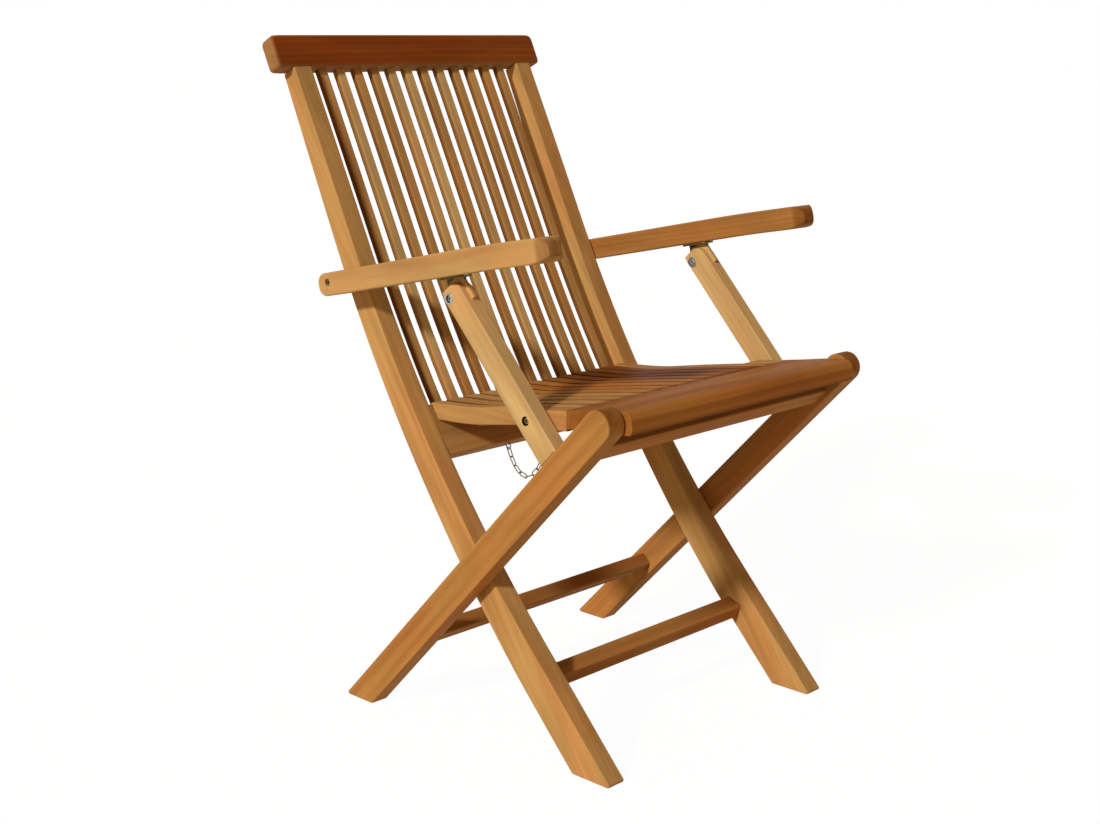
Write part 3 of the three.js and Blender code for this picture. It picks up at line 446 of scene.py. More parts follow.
def rounded(outline, radii, turns=5):
    """Each corner with a radius becomes an arc: its centre lies on the corner's bisector, and
    its points turn evenly from the one side's tangent point to the other's."""
    back, ahead = unit(np.roll(outline, 1, 0) - outline), unit(np.roll(outline, -1, 0) - outline)
    half = np.arccos(np.clip((back * ahead).sum(-1), -1, 1)) / 2
    radii = np.broadcast_to(np.asarray(radii, float), (len(outline),))
    inward = unit(back + ahead)
    centre = outline + inward * (radii / np.maximum(np.sin(half), 1e-6))[:, None]
    side = np.stack([-inward[:, 1], inward[:, 0]], -1)
    side = side * np.sign((side * ahead).sum(-1))[:, None]
    turn = np.linspace(-1, 1, turns + 1)[None, :] * (math.pi / 2 - half)[:, None]
    arcs = (
        centre[:, None]
        - inward[:, None] * (radii[:, None] * np.cos(turn))[..., None]
        + side[:, None] * (radii[:, None] * np.sin(turn))[..., None]
    )
    kept = np.ones(turn.shape, bool)
    kept[radii == 0, 1:] = False
    arcs[radii == 0, 0] = outline[radii == 0]
    return arcs[kept], np.repeat(np.arange(len(outline)), kept.sum(1))


SIDE_VIEW = np.array([BACK, UP, RIGHT], float)  # the outline's two axes, then across


def board_points(
    outline, radii, span, edge, axes=SIDE_VIEW, origin=(0, SHIFT, 0), turns=3
):
    """A board. The outline is drawn in by the edge's radius; a point moves out by radius times
    cos(turn) along the outline's normal, and by radius times sin(turn) across the board."""
    loop, source = rounded(np.asarray(outline, float), radii)
    edge = np.broadcast_to(np.asarray(edge, float), (len(outline),))[source]
    following = np.roll(loop, -1, 0)
    if ((following[:, 0] + loop[:, 0]) * (following[:, 1] - loop[:, 1])).sum() < 0:
        loop, edge = loop[::-1], edge[::-1]
    ahead = np.roll(loop, -1, 0) - loop
    tangent = unit(ahead + np.roll(ahead, 1, 0))
    normal = np.stack([tangent[:, 1], -tangent[:, 0]], -1)
    inset = loop - normal * edge[:, None]
    turn = np.linspace(-math.pi / 2, 0, turns + 1)
    turn = np.concatenate([turn, -turn[::-1]])
    end = np.repeat(span, turns + 1)
    inward = np.repeat([1, -1], turns + 1)
    flat = inset[None] + normal[None] * (np.cos(turn)[:, None] * edge[None])[..., None]
    across = end[:, None] + (inward + np.sin(turn))[:, None] * edge[None]
    places = np.concatenate([flat, across[..., None]], -1).reshape(-1, 3) @ axes + origin
    count, rings = len(loop), len(turn)
    outward, sideways = normal * np.cos(turn)[:, None, None], np.sin(turn)[:, None, None]
    outwards = np.concatenate([outward, np.repeat(sideways, count, 1)], -1).reshape(-1, 3)
    at, after = around(rings, count)
    walls = quads(at, after, after + count, at + count)
    i = np.arange(count // 2 - 1)
    cap = quads(i, i + 1, count - 2 - i, count - 1 - i)
    faces = np.concatenate([walls, cap[:, ::-1], cap + (rings - 1) * count])
    return places, faces, outwards @ axes


def finish_wood(
    piece, node, wood, along, across, tone, seed,
    oiled_end=0.8, pale_end=False, painted_gap_shade=0, facing=(0, 0, -1), darker=0,
):
    """Gives the wood its grain. The grain attribute is the place along, across and through the
    board, in metres, moved for each board to its own part of the tree. The tone is how far the
    board has darkened: with pale_end its ends have not. The side weight adds painted shade to
    the side faces, in the gaps between slats, and the facing weight adds painted shade to the
    faces turned one way, or painted light where it is negative; both also deepen the end mask."""
    mesh = piece.data
    count = len(mesh.vertices)
    places, normals = np.zeros(count * 3), np.zeros(count * 3)
    mesh.vertices.foreach_get("co", places)
    mesh.vertex_normals.foreach_get("vector", normals)
    places, normals = places.reshape(-1, 3), normals.reshape(-1, 3)
    along = unit(np.asarray(along, float))
    across = unit(np.asarray(across, float) - along * (along @ np.asarray(across, float)))
    basis = np.stack([along, across, np.cross(along, across)], -1)
    random = np.random.default_rng(seed)
    drift = random.uniform((-3, -0.045, -0.05), (3, 0.02, 0.03))
    grain = (places - places.mean(0)) @ basis + drift
    end = np.clip(np.abs(normals @ along) * 2 - 0.75, 0, 1)
    side = np.abs(normals @ basis[:, 2])
    edge = 2 * side * np.sqrt(np.maximum(1 - side**2, 0)) * (1 - end)
    # Painted shade on the side faces, for the shadow each slat casts into the gap beside it.
    sides = painted_gap_shade * (normals @ across) ** 2
    # Painted shade on faces turned one way; a negative weight paints light on them instead.
    turned = darker * np.clip(normals @ np.asarray(facing, float), 0, 1) ** 2
    tones = tone + random.uniform(-0.06, 0.08) + sides + turned
    if pale_end:
        tones *= 1 - end
    # The painted shade also goes into the end mask, which darkens and browns those faces.
    oiled = end * oiled_end + (1 - end) * (sides + turned)
    values = {"end": oiled, "edge": edge, "tone": tones}
    attribute = mesh.attributes.new("grain", "FLOAT_VECTOR", "POINT")
    attribute.data.foreach_set("vector", grain.astype(np.float32).ravel())
    for name, value in values.items():
        attribute = mesh.attributes.new(name, "FLOAT", "POINT")
        attribute.data.foreach_set("value", np.clip(value, 0, 1).astype(np.float32))
    mesh.materials.clear()
    mesh.materials.append(FINISHES[wood])
    place_on(piece, node)


def place_on(piece, node):
    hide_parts(node)
    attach(piece, BODY_OF[node])


def board(node, outline, radii, span, edge, **drawn):
    """A new board in a node's place, with soft edges."""
    places, faces, normals = board_points(outline, radii, span, edge, **drawn)
    return to_object(node + "_wood", places, faces, normals)


def mirrored_span(side, inner, outer):
    """From the lower x to the higher one, on the side that is asked for."""
    return (-outer, -inner) if side < 0 else (inner, outer)


def foot_corners(outline, radius):
    """Corner radii for an outline of which the first and the last corner alone are rounded."""
    radii = np.zeros(len(outline))
    radii[[0, -1]] = radius
    return radii


def both_sides(part, outline, corner, edge, places, wood, along, across, tones, seed):
    """A board and its mirror image. Places are how far its inner and outer face lie from the
    middle of the chair, and tones how far each side has darkened."""
    for index, (name, side) in enumerate(SIDES):
        node = f"{part}_{name}"
        span = mirrored_span(side, *places)
        piece = board(node, outline, foot_corners(outline, corner), span, edge)
        finish_wood(piece, node, wood, along, across, tones[index], seed + index)


def lean_vector(lean):
    """Up a line that leans back."""
    return (0, math.sin(lean), math.cos(lean))


def forward_vector(lean):
    """Square to that line, forward."""
    return (0, -math.cos(lean), math.sin(lean))


def bar(origin, lean, spans, thick):
    """A rectangle in the side view along a leaning line, first end's corners first."""
    (start, end), (behind, front) = spans, thick
    return local(origin, lean, [start, end, end, start], [front, front, behind, behind])


def cut_with(piece, cutters):
    """Takes the cutters' shapes out of a piece, and leaves the cut mesh without modifiers."""
    for cutter in cutters:
        modifier = piece.modifiers.new("cut", "BOOLEAN")
        modifier.operation, modifier.solver, modifier.object = "DIFFERENCE", "EXACT", cutter
    graph = bpy.context.evaluated_depsgraph_get()
    cut = bpy.data.meshes.new_from_object(piece.evaluated_get(graph))
    cut.name = piece.name
    piece.modifiers.clear()
    piece.data = cut
    for cutter in cutters:
        bpy.data.objects.remove(cutter)
    for name in ("custom_normal", "sharp_face"):
        if name in cut.attributes:
            cut.attributes.remove(cut.attributes[name])
    cut.polygons.foreach_set("use_smooth", np.ones(len(cut.polygons), bool))
    cut.set_sharp_from_angle(angle=math.radians(40))
    modifier = piece.modifiers.new("even_shading", "WEIGHTED_NORMAL")
    modifier.keep_sharp = True


def turned_points(profile, side, centre, count=TURNED_SIDES, socket=0, closed=False):
    """A profile of (radius, x) carried round an axis along x. The socket's rings, the last ones,
    follow a hexagon: its inner radius over the cosine of the angle from the nearest flat's
    middle. A closed profile runs back to its start, and any other is capped at both ends."""
    profile = np.asarray(profile, float)
    angle = full_turn(count)
    radius = np.repeat(profile[:, :1], count, 1)
    if socket:
        radius[-socket:] /= np.cos((angle + math.pi / 6) % (math.pi / 3) - math.pi / 6)
    x = np.repeat(profile[:, 1:] * side, count, 1)
    y = centre[0] + SHIFT + radius * np.cos(angle)
    z = centre[1] + radius * np.sin(angle)
    places = np.stack([x, y, z], -1).reshape(-1, 3)
    total = len(places)
    at, after = around(len(profile) + closed, count)
    faces = quads(at, (at + count) % total, (after + count) % total, after).tolist()
    if not closed:
        faces += [list(range(total - count, total)), list(range(count))[::-1]]
    if side < 0:
        return places, [f[::-1] for f in faces]
    return places, faces


def bore(side, centre, radius, inner, outer):
    """A plain round cutter along x."""
    profile = [(radius, x) for x in mirrored_span(side, inner, outer)]
    places, faces = turned_points(profile, 1, centre, BORED_SIDES)
    return to_object("cutter", places, [f[::-1] for f in faces])


# Stiles


def stile_outline():
    """Front edge from the sole up, then the back edge down; both start on the level floor."""
    share = np.linspace(0, 1, STILE_STEPS)
    top = RAIL_UNDER - FIT
    half_foot = STILE_FOOT / 2
    slope = half_foot * math.tan(FOOT_LEAN)
    front = -slope + share * (top + slope)
    back = slope + share * (top - slope)
    front = on_stile(front, stile_half(front))
    back = on_stile(back, -stile_half(back))
    front[0, 1] = back[0, 1] = 0
    return np.concatenate([front, back[::-1]])


places = (STILE_INNER, STILE_OUTER)
both_sides(
    "stile", stile_outline(), STILE_CORNER, STILE_EDGE, places,
    "teak", STILE_AXIS, BACK, (0.05, 0.0), 11,
)

# Back slats
BACK_MIDDLE = BACK_RAIL_ALONG + BACK_RAIL_HEIGHT / 2
BACK_CENTRE = on_stile(BACK_MIDDLE, 0)
BACK_FRONT = float(stile_half(BACK_MIDDLE)) - BACK_RAIL_SETBACK
BACK_LEAN_HERE = float(lean_at(BACK_MIDDLE))
SLAT_TONES = (0.05, 0.12, 0.0, 0.04, 0.08, 0.0, 0.02, 0.12, 0.15, 0.0, 0.0, 0.1)
SLAT_WOODS = ["pale_teak" if index in (1, 4, 5, 7) else "teak" for index in range(SLAT_COUNT)]

slat_foot = BACK_MIDDLE + BACK_RAIL_HEIGHT / 2 - SLAT_HOUSED
slat_alongs = np.linspace(slat_foot, RAIL_UNDER + SLAT_HOUSED, SLAT_STEPS)
slat_front = on_stile(slat_alongs, stile_half(slat_alongs) - SLAT_SETBACK)
slat_back = on_stile(slat_alongs, stile_half(slat_alongs) - SLAT_SETBACK - SLAT_THICK)
outline = np.concatenate([slat_front, slat_back[::-1]])
for index, (wood, tone) in enumerate(zip(SLAT_WOODS, SLAT_TONES)):
    node = f"back_slat_{index + 1:02d}"
    span = about((index - (SLAT_COUNT - 1) / 2) * BACK_PITCH, SLAT_WIDTH)
    piece = board(node, outline, 0, span, SLAT_EDGE, turns=4)
    # Their side faces get painted shade, for the shadow each slat casts on the next.
    finish_wood(piece, node, wood, STILE_AXIS, RIGHT, tone, 31 + index, painted_gap_shade=0.65)

# Top rail: its face is drawn as (x, up the lean), and its thickness is square to that
RAIL_AXES = np.array([RIGHT, lean_vector(BACK_LEAN), forward_vector(BACK_LEAN)])
half = STILE_OUTER + RAIL_OVERHANG
long_half = half - RAIL_END_RUN
lower = [(-half, 0), (-long_half, 0), (long_half, 0), (half, 0)]
rail_outline = np.array(lower + [(x, RAIL_HEIGHT) for x, _ in lower[::-1]])
piece = board(
    "top_rail",
    rail_outline,
    (RAIL_LOW_CORNER, 0, 0, RAIL_LOW_CORNER, RAIL_CORNER, 0, 0, RAIL_CORNER),
    about(0, RAIL_THICK),
    RAIL_EDGES,
    axes=RAIL_AXES,
    origin=in_frame(on_stile(RAIL_UNDER, 0)),
    turns=6,
)
# Its downward face is painted lighter: painted light, as if bounced up from below.
finish_wood(
    piece, "top_rail", "brown_teak", RIGHT, lean_vector(BACK_LEAN), 0.92, 51, oiled_end=0.15,
    pale_end=True, facing=-np.array(lean_vector(BACK_LEAN)), darker=-0.85,
)

# Lower back rail and stretchers


def cross_rail(node, outline, corner, boards, wood, lean, tone, seed):
    """A rail across the chair, which ends just inside the boards on both sides."""
    half_length = boards + CROSS_INTO
    piece = board(node, outline, corner, (-half_length, half_length), CROSS_EDGE, turns=1)
    finish_wood(piece, node, wood, RIGHT, lean_vector(lean), tone, seed)


lean, middle = BACK_LEAN_HERE, BACK_CENTRE
outline = bar(middle, lean, about(0, BACK_RAIL_HEIGHT), (BACK_FRONT - BACK_RAIL_THICK, BACK_FRONT))
cross_rail("lower_back_rail", outline, BACK_RAIL_CORNER, STILE_INNER, "teak", lean, 0.15, 61)

lean, middle = STRETCHER_TILT, on_stile(STRETCHER_UP, -STRETCHER_BEHIND)
outline = bar(middle, lean, about(0, STRETCHER_HEIGHT), about(0, STRETCHER_DEPTH))
cross_rail("front_stretcher", outline, STRETCHER_CORNER, STILE_INNER, "dark_teak", lean, 0.3, 62)

for node, (down, forward, height, depth), tone, seed in (
    ("rear_stretcher", REAR_STRETCHER, 0.3, 63),
    ("lower_front_rail", FRONT_RAIL, 0.1, 64),
):
    middle = local(SEAT_PIVOT, -LEG_LEAN, -down, forward)
    outline = bar(middle, -LEG_LEAN, about(0, height), about(0, depth))
    cross_rail(node, outline, STRETCHER_CORNER, LEG_INNER, "dark_teak", -LEG_LEAN, tone, seed)

# Rear legs: a straight board with a level sole and a half-round top
LEG_FLOOR = SEAT_PIVOT[1] / math.cos(LEG_LEAN)


def leg_outline():
    """Front edge up from the sole, over the crown, and down the back edge. The crown's point
    belongs to both edges, so it is given twice, a hair apart."""
    half = LEG_WIDTH / 2
    slope = half * math.tan(LEG_LEAN)
    turn = quarter(CROWN_STEPS)
    front = local(SEAT_PIVOT, -LEG_LEAN, half * np.sin(turn), half * np.cos(turn))
    back = local(SEAT_PIVOT, -LEG_LEAN, half * np.sin(turn), -half * np.cos(turn))[::-1]
    sole = local(SEAT_PIVOT, -LEG_LEAN, [slope - LEG_FLOOR, -slope - LEG_FLOOR], [half, -half])
    crown = front[-1]
    pair = [crown + (beside - crown) * 0.1 for beside in (front[-2], back[1])]
    return np.concatenate([sole[:1], front[:-1], pair, back[1:], sole[1:]])


places = (LEG_INNER, LEG_OUTER)
both_sides(
    "rear_leg", leg_outline(), LEG_CORNER, LEG_EDGE, places,
    "dark_teak", lean_vector(-LEG_LEAN), BACK, (0.05, 0.15), 71,
)

# Seat
RAIL_TOP_FRONT = local(BACK_CENTRE, BACK_LEAN_HERE, BACK_RAIL_HEIGHT / 2, BACK_FRONT + SEAT_GAP)
SEAT_FRONT_TOP = SEAT_PIVOT[1] + SEAT_CROWN
SEAT_REAR_TOP = SEAT_FRONT_TOP - SEAT_DROP
SEAT_FRONT_Y = SEAT_PIVOT[0] - SEAT_NOSE
CROWN_Y = SEAT_FRONT_Y + NOSE_ROUND
FRONT_SLAT_BACK = SEAT_FRONT_Y + FRONT_SLAT_DEPTH


def seat_rear_at(z):
    return RAIL_TOP_FRONT[0] + (z - RAIL_TOP_FRONT[1]) * math.tan(BACK_LEAN_HERE)


def seat_top(y):
    """The seat's top: a drop from the front to the rear, shared out along the run."""
    rear = seat_rear_at(SEAT_REAR_TOP)
    run = np.clip((rear - np.asarray(y, float)) / (rear - CROWN_Y), 0, 1)
    return SEAT_REAR_TOP + SEAT_DROP * smooth_through(run, RUN_SHARES, RISE_SHARES)


def on_seat(y, depth=0):
    """Places on the seat's top, or so far under it."""
    return np.stack([y, seat_top(y) - depth], -1)


def seat_outline(rear_depth, front_depth, count=SEAT_STEPS):
    """Top edge from the rear to the front slat, then the underside back again."""
    front = FRONT_SLAT_BACK + FIT
    top = np.linspace(seat_rear_at(SEAT_REAR_TOP), front, count)
    rear_low = seat_rear_at(SEAT_REAR_TOP - rear_depth)
    under = np.linspace(rear_low, front, count)
    depth = rear_depth + (front_depth - rear_depth) * (rear_low - under) / (rear_low - front)
    return np.concatenate([on_seat(top), on_seat(under, depth)[::-1]])


RAIL_INNER = (SEAT_SLAT_COUNT + 1) / 2 * SEAT_PITCH - SEAT_SLAT_WIDTH / 2
outline, places = seat_outline(SIDE_RAIL_REAR, SIDE_RAIL_FRONT), (RAIL_INNER, SIDE_RAIL_OUTER)
both_sides(
    "side_rail", outline, SIDE_RAIL_CORNER, SIDE_EDGE, places,
    "teak", BACK, UP, (0.1, 0.2), 81,
)

# The tones rise towards the back: the farther slats are darkened with painted shade, for the shade in the gaps
# near the back.
SEAT_TONES_AND_SHADE = (0.0, 0.1, 0.05, 0.0, 0.1, 0.05, 0.3, 0.6, 0.65, 0.8, 0.75)
SEAT_WOODS = ("teak",) * 3 + ("russet_teak",) * 8
outline = seat_outline(SEAT_SLAT_DEPTH, SEAT_SLAT_DEPTH)
for index, (wood, tone) in enumerate(zip(SEAT_WOODS, SEAT_TONES_AND_SHADE)):
    node = f"seat_slat_{index + 1:02d}"
    span = about((index - (SEAT_SLAT_COUNT - 1) / 2) * SEAT_PITCH, SEAT_SLAT_WIDTH)
    piece = board(node, outline, foot_corners(outline, SEAT_SLAT_CORNER), span, SEAT_SLAT_EDGE)
    # Their side faces get painted shade, for the shadow in the narrow gaps between the slats.
    finish_wood(piece, node, wood, BACK, RIGHT, tone, 91 + index, painted_gap_shade=1.1)


def front_slat_outline():
    """Top from the rear to the crown and round the nose; underside from the rear to the
    lower corner of the nose. The nose is a quarter of an ellipse."""
    top = on_seat(np.linspace(FRONT_SLAT_BACK, CROWN_Y, FRONT_SLAT_STEPS))
    turn = quarter(NOSE_STEPS)
    crown = float(seat_top(CROWN_Y))
    nose = [CROWN_Y - NOSE_ROUND * np.sin(turn), crown - NOSE_ROUND * (1 - np.cos(turn))]
    upper = np.concatenate([top, np.stack(nose, -1)[1:]])
    low = SEAT_PIVOT[1] - NOSE_UNDER
    corner = NOSE_ROUND / 2
    centre = SEAT_FRONT_Y + corner
    lip = np.stack([centre - corner * np.sin(turn), low + corner - corner * np.cos(turn)], -1)
    rear = float(seat_top(FRONT_SLAT_BACK)) - FRONT_SLAT_REAR
    share = np.linspace(0, 1, len(upper) - len(lip) + 1)[:-1]
    under = [FRONT_SLAT_BACK + (centre - FRONT_SLAT_BACK) * share, rear + (low - rear) * share]
    return np.concatenate([upper, np.concatenate([np.stack(under, -1), lip])[::-1]])


span = (-STILE_OUTER, STILE_OUTER)
piece = board("front_slat", front_slat_outline(), 0, span, FRONT_SLAT_EDGE)
# Its underside is darkened: painted shade under the nose.
finish_wood(
    piece, "front_slat", "russet_teak", RIGHT, BACK, 0.45, 111, oiled_end=0.65,
    pale_end=True, darker=1,
)

top = on_seat(np.linspace(SEAT_BOLT[0] + CHEEK_BEHIND, FRONT_SLAT_BACK + FIT, CHEEK_STEPS))
outline = np.concatenate([top, (top - (0, CHEEK_DEPTH))[::-1]])
both_sides(
    "cheek", outline, CHEEK_CORNER, SIDE_EDGE, (SIDE_RAIL_OUTER + FIT, STILE_OUTER),
    "teak", BACK, UP, (0.08, 0.08), 121,
)

for index, share in enumerate(BATTEN_SHARES):
    node = f"batten_{index + 1}"
    rear = seat_rear_at(SEAT_REAR_TOP)
    front, back = about(rear + (FRONT_SLAT_BACK - rear) * share, BATTEN_WIDTH)
    lie_back, lie_front = (float(seat_top(y)) - SEAT_SLAT_DEPTH - FIT for y in (back, front))
    outline = [
        (front, lie_front - BATTEN_DEPTH),
        (front, lie_front),
        (back, min(lie_back, lie_front)),
        (back, lie_back - BATTEN_DEPTH),
    ]
    reach = RAIL_INNER - FIT
    piece = board(node, outline, BATTEN_CORNER, (-reach, reach), BATTEN_EDGE)
    finish_wood(piece, node, "teak", RIGHT, BACK, 0.25, 131 + index)

# Arms: drawn from above as (ahead along the arm, x), with their thickness square to that
ARM_AXES = np.array([forward_vector(ARM_RISE), RIGHT, lean_vector(ARM_RISE)])
ARM_TOP = ARM_THICK / 2 - ARM_PIVOT_ABOVE
ARM_UNDER = ARM_TOP - ARM_THICK


def arm_points(side, edge=3.0, facet_edge=2.0, ring=40):
    """The arm as rounded rectangles strung along it. Top and underside leave their straight
    lines near the ends along quarters of ellipses, the tip drops with the square of the way
    past the bow's start, and the upright corners are cut off at 45 degrees."""
    rear, front = -ARM_BEHIND, ARM_AHEAD
    near_tip = front - ARM_TIP_UNDER - ARM_TIP_STEP
    fine = 1 - np.cos(quarter(ARM_END_RINGS))
    ahead = np.concatenate(
        [
            rear + ARM_REAR_ROUND * fine,
            np.linspace(rear + ARM_REAR_ROUND + ARM_REAR_STEP, near_tip, ARM_RINGS),
            front - ARM_TIP_UNDER * fine[::-1],
        ]
    )
    share = np.clip((ahead - ARM_BOW_START) / (front - ARM_BOW_START), 0, 1)
    drop = ARM_BOW * share**2

    def leaves(distance, length, lift):
        """How far a surface has left its line, so near the end: an ellipse's quarter."""
        gone = np.clip(1 - distance / length, 0, 1)
        return lift * (1 - np.sqrt(1 - gone**2))

    to_front, to_rear = front - ahead, ahead - rear
    top = ARM_TOP - leaves(to_front, ARM_TIP_ROUND, ARM_TIP_ROUND)
    top = top - leaves(to_rear, ARM_REAR_ROUND, ARM_REAR_ROUND) - drop
    under = ARM_UNDER + leaves(to_front, ARM_TIP_UNDER, ARM_TIP_LIFT)
    under = under + leaves(to_rear, ARM_REAR_ROUND, ARM_REAR_ROUND) - drop

    def facet(distance, corner):
        """The cut corner's depth, eased where it starts and where it meets the end."""
        cut = np.maximum(corner - distance, 0)
        return np.where(cut < facet_edge, cut**2 / (2 * facet_edge), cut - facet_edge / 2)

    narrow = facet(to_front, ARM_FRONT_CORNER) + facet(to_rear, ARM_REAR_CORNER)
    low, high = mirrored_span(side, LEG_INNER, ARM_OUTER)
    turn = full_turn(ring)
    half_width, up, down = (ARM_WIDTH / 2 - narrow)[:, None], top[:, None], under[:, None]
    radius = np.minimum(edge, (up - down) / 2 - 0.1)
    x = (low + high) / 2 + np.sign(np.round(np.cos(turn), 9)) * (half_width - radius)
    z = np.where(np.sin(turn) > 0, up - radius, down + radius)
    x, z = x + radius * np.cos(turn), z + radius * np.sin(turn)
    return np.stack([np.broadcast_to(ahead[:, None], x.shape), x, z], -1)


def arm_mesh(node, side):
    """The arm's rings joined up and closed by a fan of triangles at each end."""
    rings = arm_points(side)
    count, ring = rings.shape[:2]
    ends = [rings[0].mean(0), rings[-1].mean(0)]
    places = np.concatenate([rings.reshape(-1, 3), ends]) @ ARM_AXES + in_frame(ARM_PIVOT)
    at, beside = around(count, ring)
    faces = quads(at, beside, beside + ring, at + ring).tolist()
    j = np.arange(ring)
    last = (count - 1) * ring
    rear, front = count * ring, count * ring + 1
    faces += np.stack([np.full(ring, rear), (j + 1) % ring, j], -1).tolist()
    faces += np.stack([np.full(ring, front), last + j, last + (j + 1) % ring], -1).tolist()
    return to_object(node + "_wood", places, faces)


ARM_WOODS = ("pale_teak", "dark_teak")
ARM_TONES = (0.5, 0.25)
for index, (name, side) in enumerate(SIDES):
    node = f"arm_{name}"
    piece = arm_mesh(node, side)
    sunk, out = ARM_OUTER - HEAD_DEPTH - HEAD_RECESS, ARM_OUTER + OVERRUN
    cut_with(piece, [bore(side, ARM_PIVOT, HEAD_RADIUS + FIT, sunk, out)])
    wood, tone = ARM_WOODS[index], ARM_TONES[index]
    finish_wood(piece, node, wood, ARM_AXES[0], RIGHT, tone, 141 + index)

# Supports: straight boards with a slotted top and a foot cut to the leg's edge


def support_outline():
    back, front = -SUPPORT_BACK, SUPPORT_WIDTH - SUPPORT_BACK
    normal = np.array([math.cos(LEG_LEAN), math.sin(LEG_LEAN)])
    step = -np.array([math.sin(SUPPORT_LEAN), math.cos(SUPPORT_LEAN)])
    edge = local(SEAT_PIVOT, -LEG_LEAN, 0, -LEG_WIDTH / 2 - SUPPORT_LEG_GAP)

    def foot(forward):
        place = local(BRACKET_PIVOT, SUPPORT_LEAN, 0, forward)
        return place + step * ((edge - place) @ normal) / (step @ normal)

    top = local(BRACKET_PIVOT, SUPPORT_LEAN, SUPPORT_TOP, [front, back])
    return np.array([foot(front), *top, foot(back)])


for index, (name, side) in enumerate(SIDES):
    node = f"support_{name}"
    radii = (SUPPORT_FOOT_CORNER, SUPPORT_TOP_FRONT, SUPPORT_TOP_BACK, SUPPORT_FOOT_CORNER)
    span = mirrored_span(side, LEG_INNER, SUPPORT_OUTER)
    piece = board(node, support_outline(), radii, span, SUPPORT_EDGE)
    across = (-SUPPORT_BACK - OVERRUN, SUPPORT_WIDTH - SUPPORT_BACK + OVERRUN)
    slot = bar(BRACKET_PIVOT, SUPPORT_LEAN, (-SLOT_BELOW, SUPPORT_TOP + OVERRUN), across)
    span = mirrored_span(side, *about(SUPPORT_MIDDLE, TONGUE_THICK + 2 * SLOT_CLEARANCE))
    slot, faces, _ = board_points(slot, 0, span, SHARP, turns=1)
    sunk, out = SUPPORT_OUTER - HEAD_DEPTH - HEAD_RECESS, SUPPORT_OUTER + OVERRUN
    ring = RING_RADIUS + RING_FIT
    cutters = [
        to_object("cutter", slot, faces),
        bore(side, BRACKET_PIVOT, HEAD_RADIUS + FIT, sunk, out),
        bore(side, BRACKET_PIVOT, ring, SUPPORT_OUTER - RING_SUNK, out),
        bore(side, BRACKET_PIVOT, ring, LEG_INNER - OVERRUN, LEG_INNER + RING_SUNK),
        bore(side, SEAT_BOLT, HEAD_RADIUS + SEAT_BOLT_HOLLOW, sunk, out),
    ]
    cut_with(piece, cutters)
    along = lean_vector(SUPPORT_LEAN)
    finish_wood(piece, node, "pale_teak", along, BACK, 0.0, 151 + index, oiled_end=0.3)

# Brackets


def metal(piece, node, material):
    """Gives a new metal piece its finish, in a node's place."""
    piece.data.materials.append(material)
    piece.data.set_sharp_from_angle(angle=math.radians(35))
    place_on(piece, node)


def joined(name, parts):
    """Several closed shells in one mesh."""
    places = np.concatenate([p for p, _ in parts])
    starts = np.cumsum([0] + [len(p) for p, _ in parts])
    faces = [[i + start for i in f] for (_, fs), start in zip(parts, starts) for f in fs]
    return to_object(name, places, faces)


for name, side in SIDES:
    node = f"bracket_{name}"
    top = BRACKET_DOWN + ARM_UNDER - FIT - FLANGE_THICK + TONGUE_JOIN
    turn = quarter(TONGUE_STEPS)
    drop = np.stack([TONGUE_END * np.cos(turn), -TONGUE_END * np.sin(turn)], -1)[:-1]
    ahead = np.concatenate([[(TONGUE_TOP - TONGUE_END, top)], drop])
    behind = np.concatenate([[(-TONGUE_END, top)], drop * (-1, 1)])
    tongue = np.concatenate([ahead, behind[::-1]])
    tongue = on_arm(BRACKET_AHEAD + tongue[:, 0], tongue[:, 1] - BRACKET_DOWN)
    span = mirrored_span(side, *about(SUPPORT_MIDDLE, TONGUE_THICK))
    tongue = board_points(tongue, 0, span, TONGUE_EDGE, turns=2)[:2]
    low, high = about(BRACKET_AHEAD + FLANGE_FORWARD, FLANGE_LENGTH)
    inner, outer = mirrored_span(side, *about(SUPPORT_MIDDLE, FLANGE_WIDTH))
    flange = [(low, inner), (high, inner), (high, outer), (low, outer)]
    thick = (ARM_UNDER - FIT - FLANGE_THICK, ARM_UNDER - FIT)
    origin = in_frame(ARM_PIVOT)
    flange = board_points(flange, FLANGE_CORNER, thick, FLANGE_EDGE, ARM_AXES, origin, 2)[:2]
    metal(joined(node + "_plate", [tongue, flange]), node, TARNISHED)


def washer_ring(side, centre, outer):
    """A flat ring round the head, let into the wood."""
    hole = HEAD_RADIUS + FIT / 2
    profile = [
        (hole, outer + RING_PROUD),
        (hole, outer - RING_SUNK),
        (RING_RADIUS, outer - RING_SUNK),
        (RING_RADIUS, outer + RING_PROUD - CHAMFER),
        (RING_RADIUS - CHAMFER, outer + RING_PROUD),
    ]
    return turned_points(profile, side, centre, closed=True)


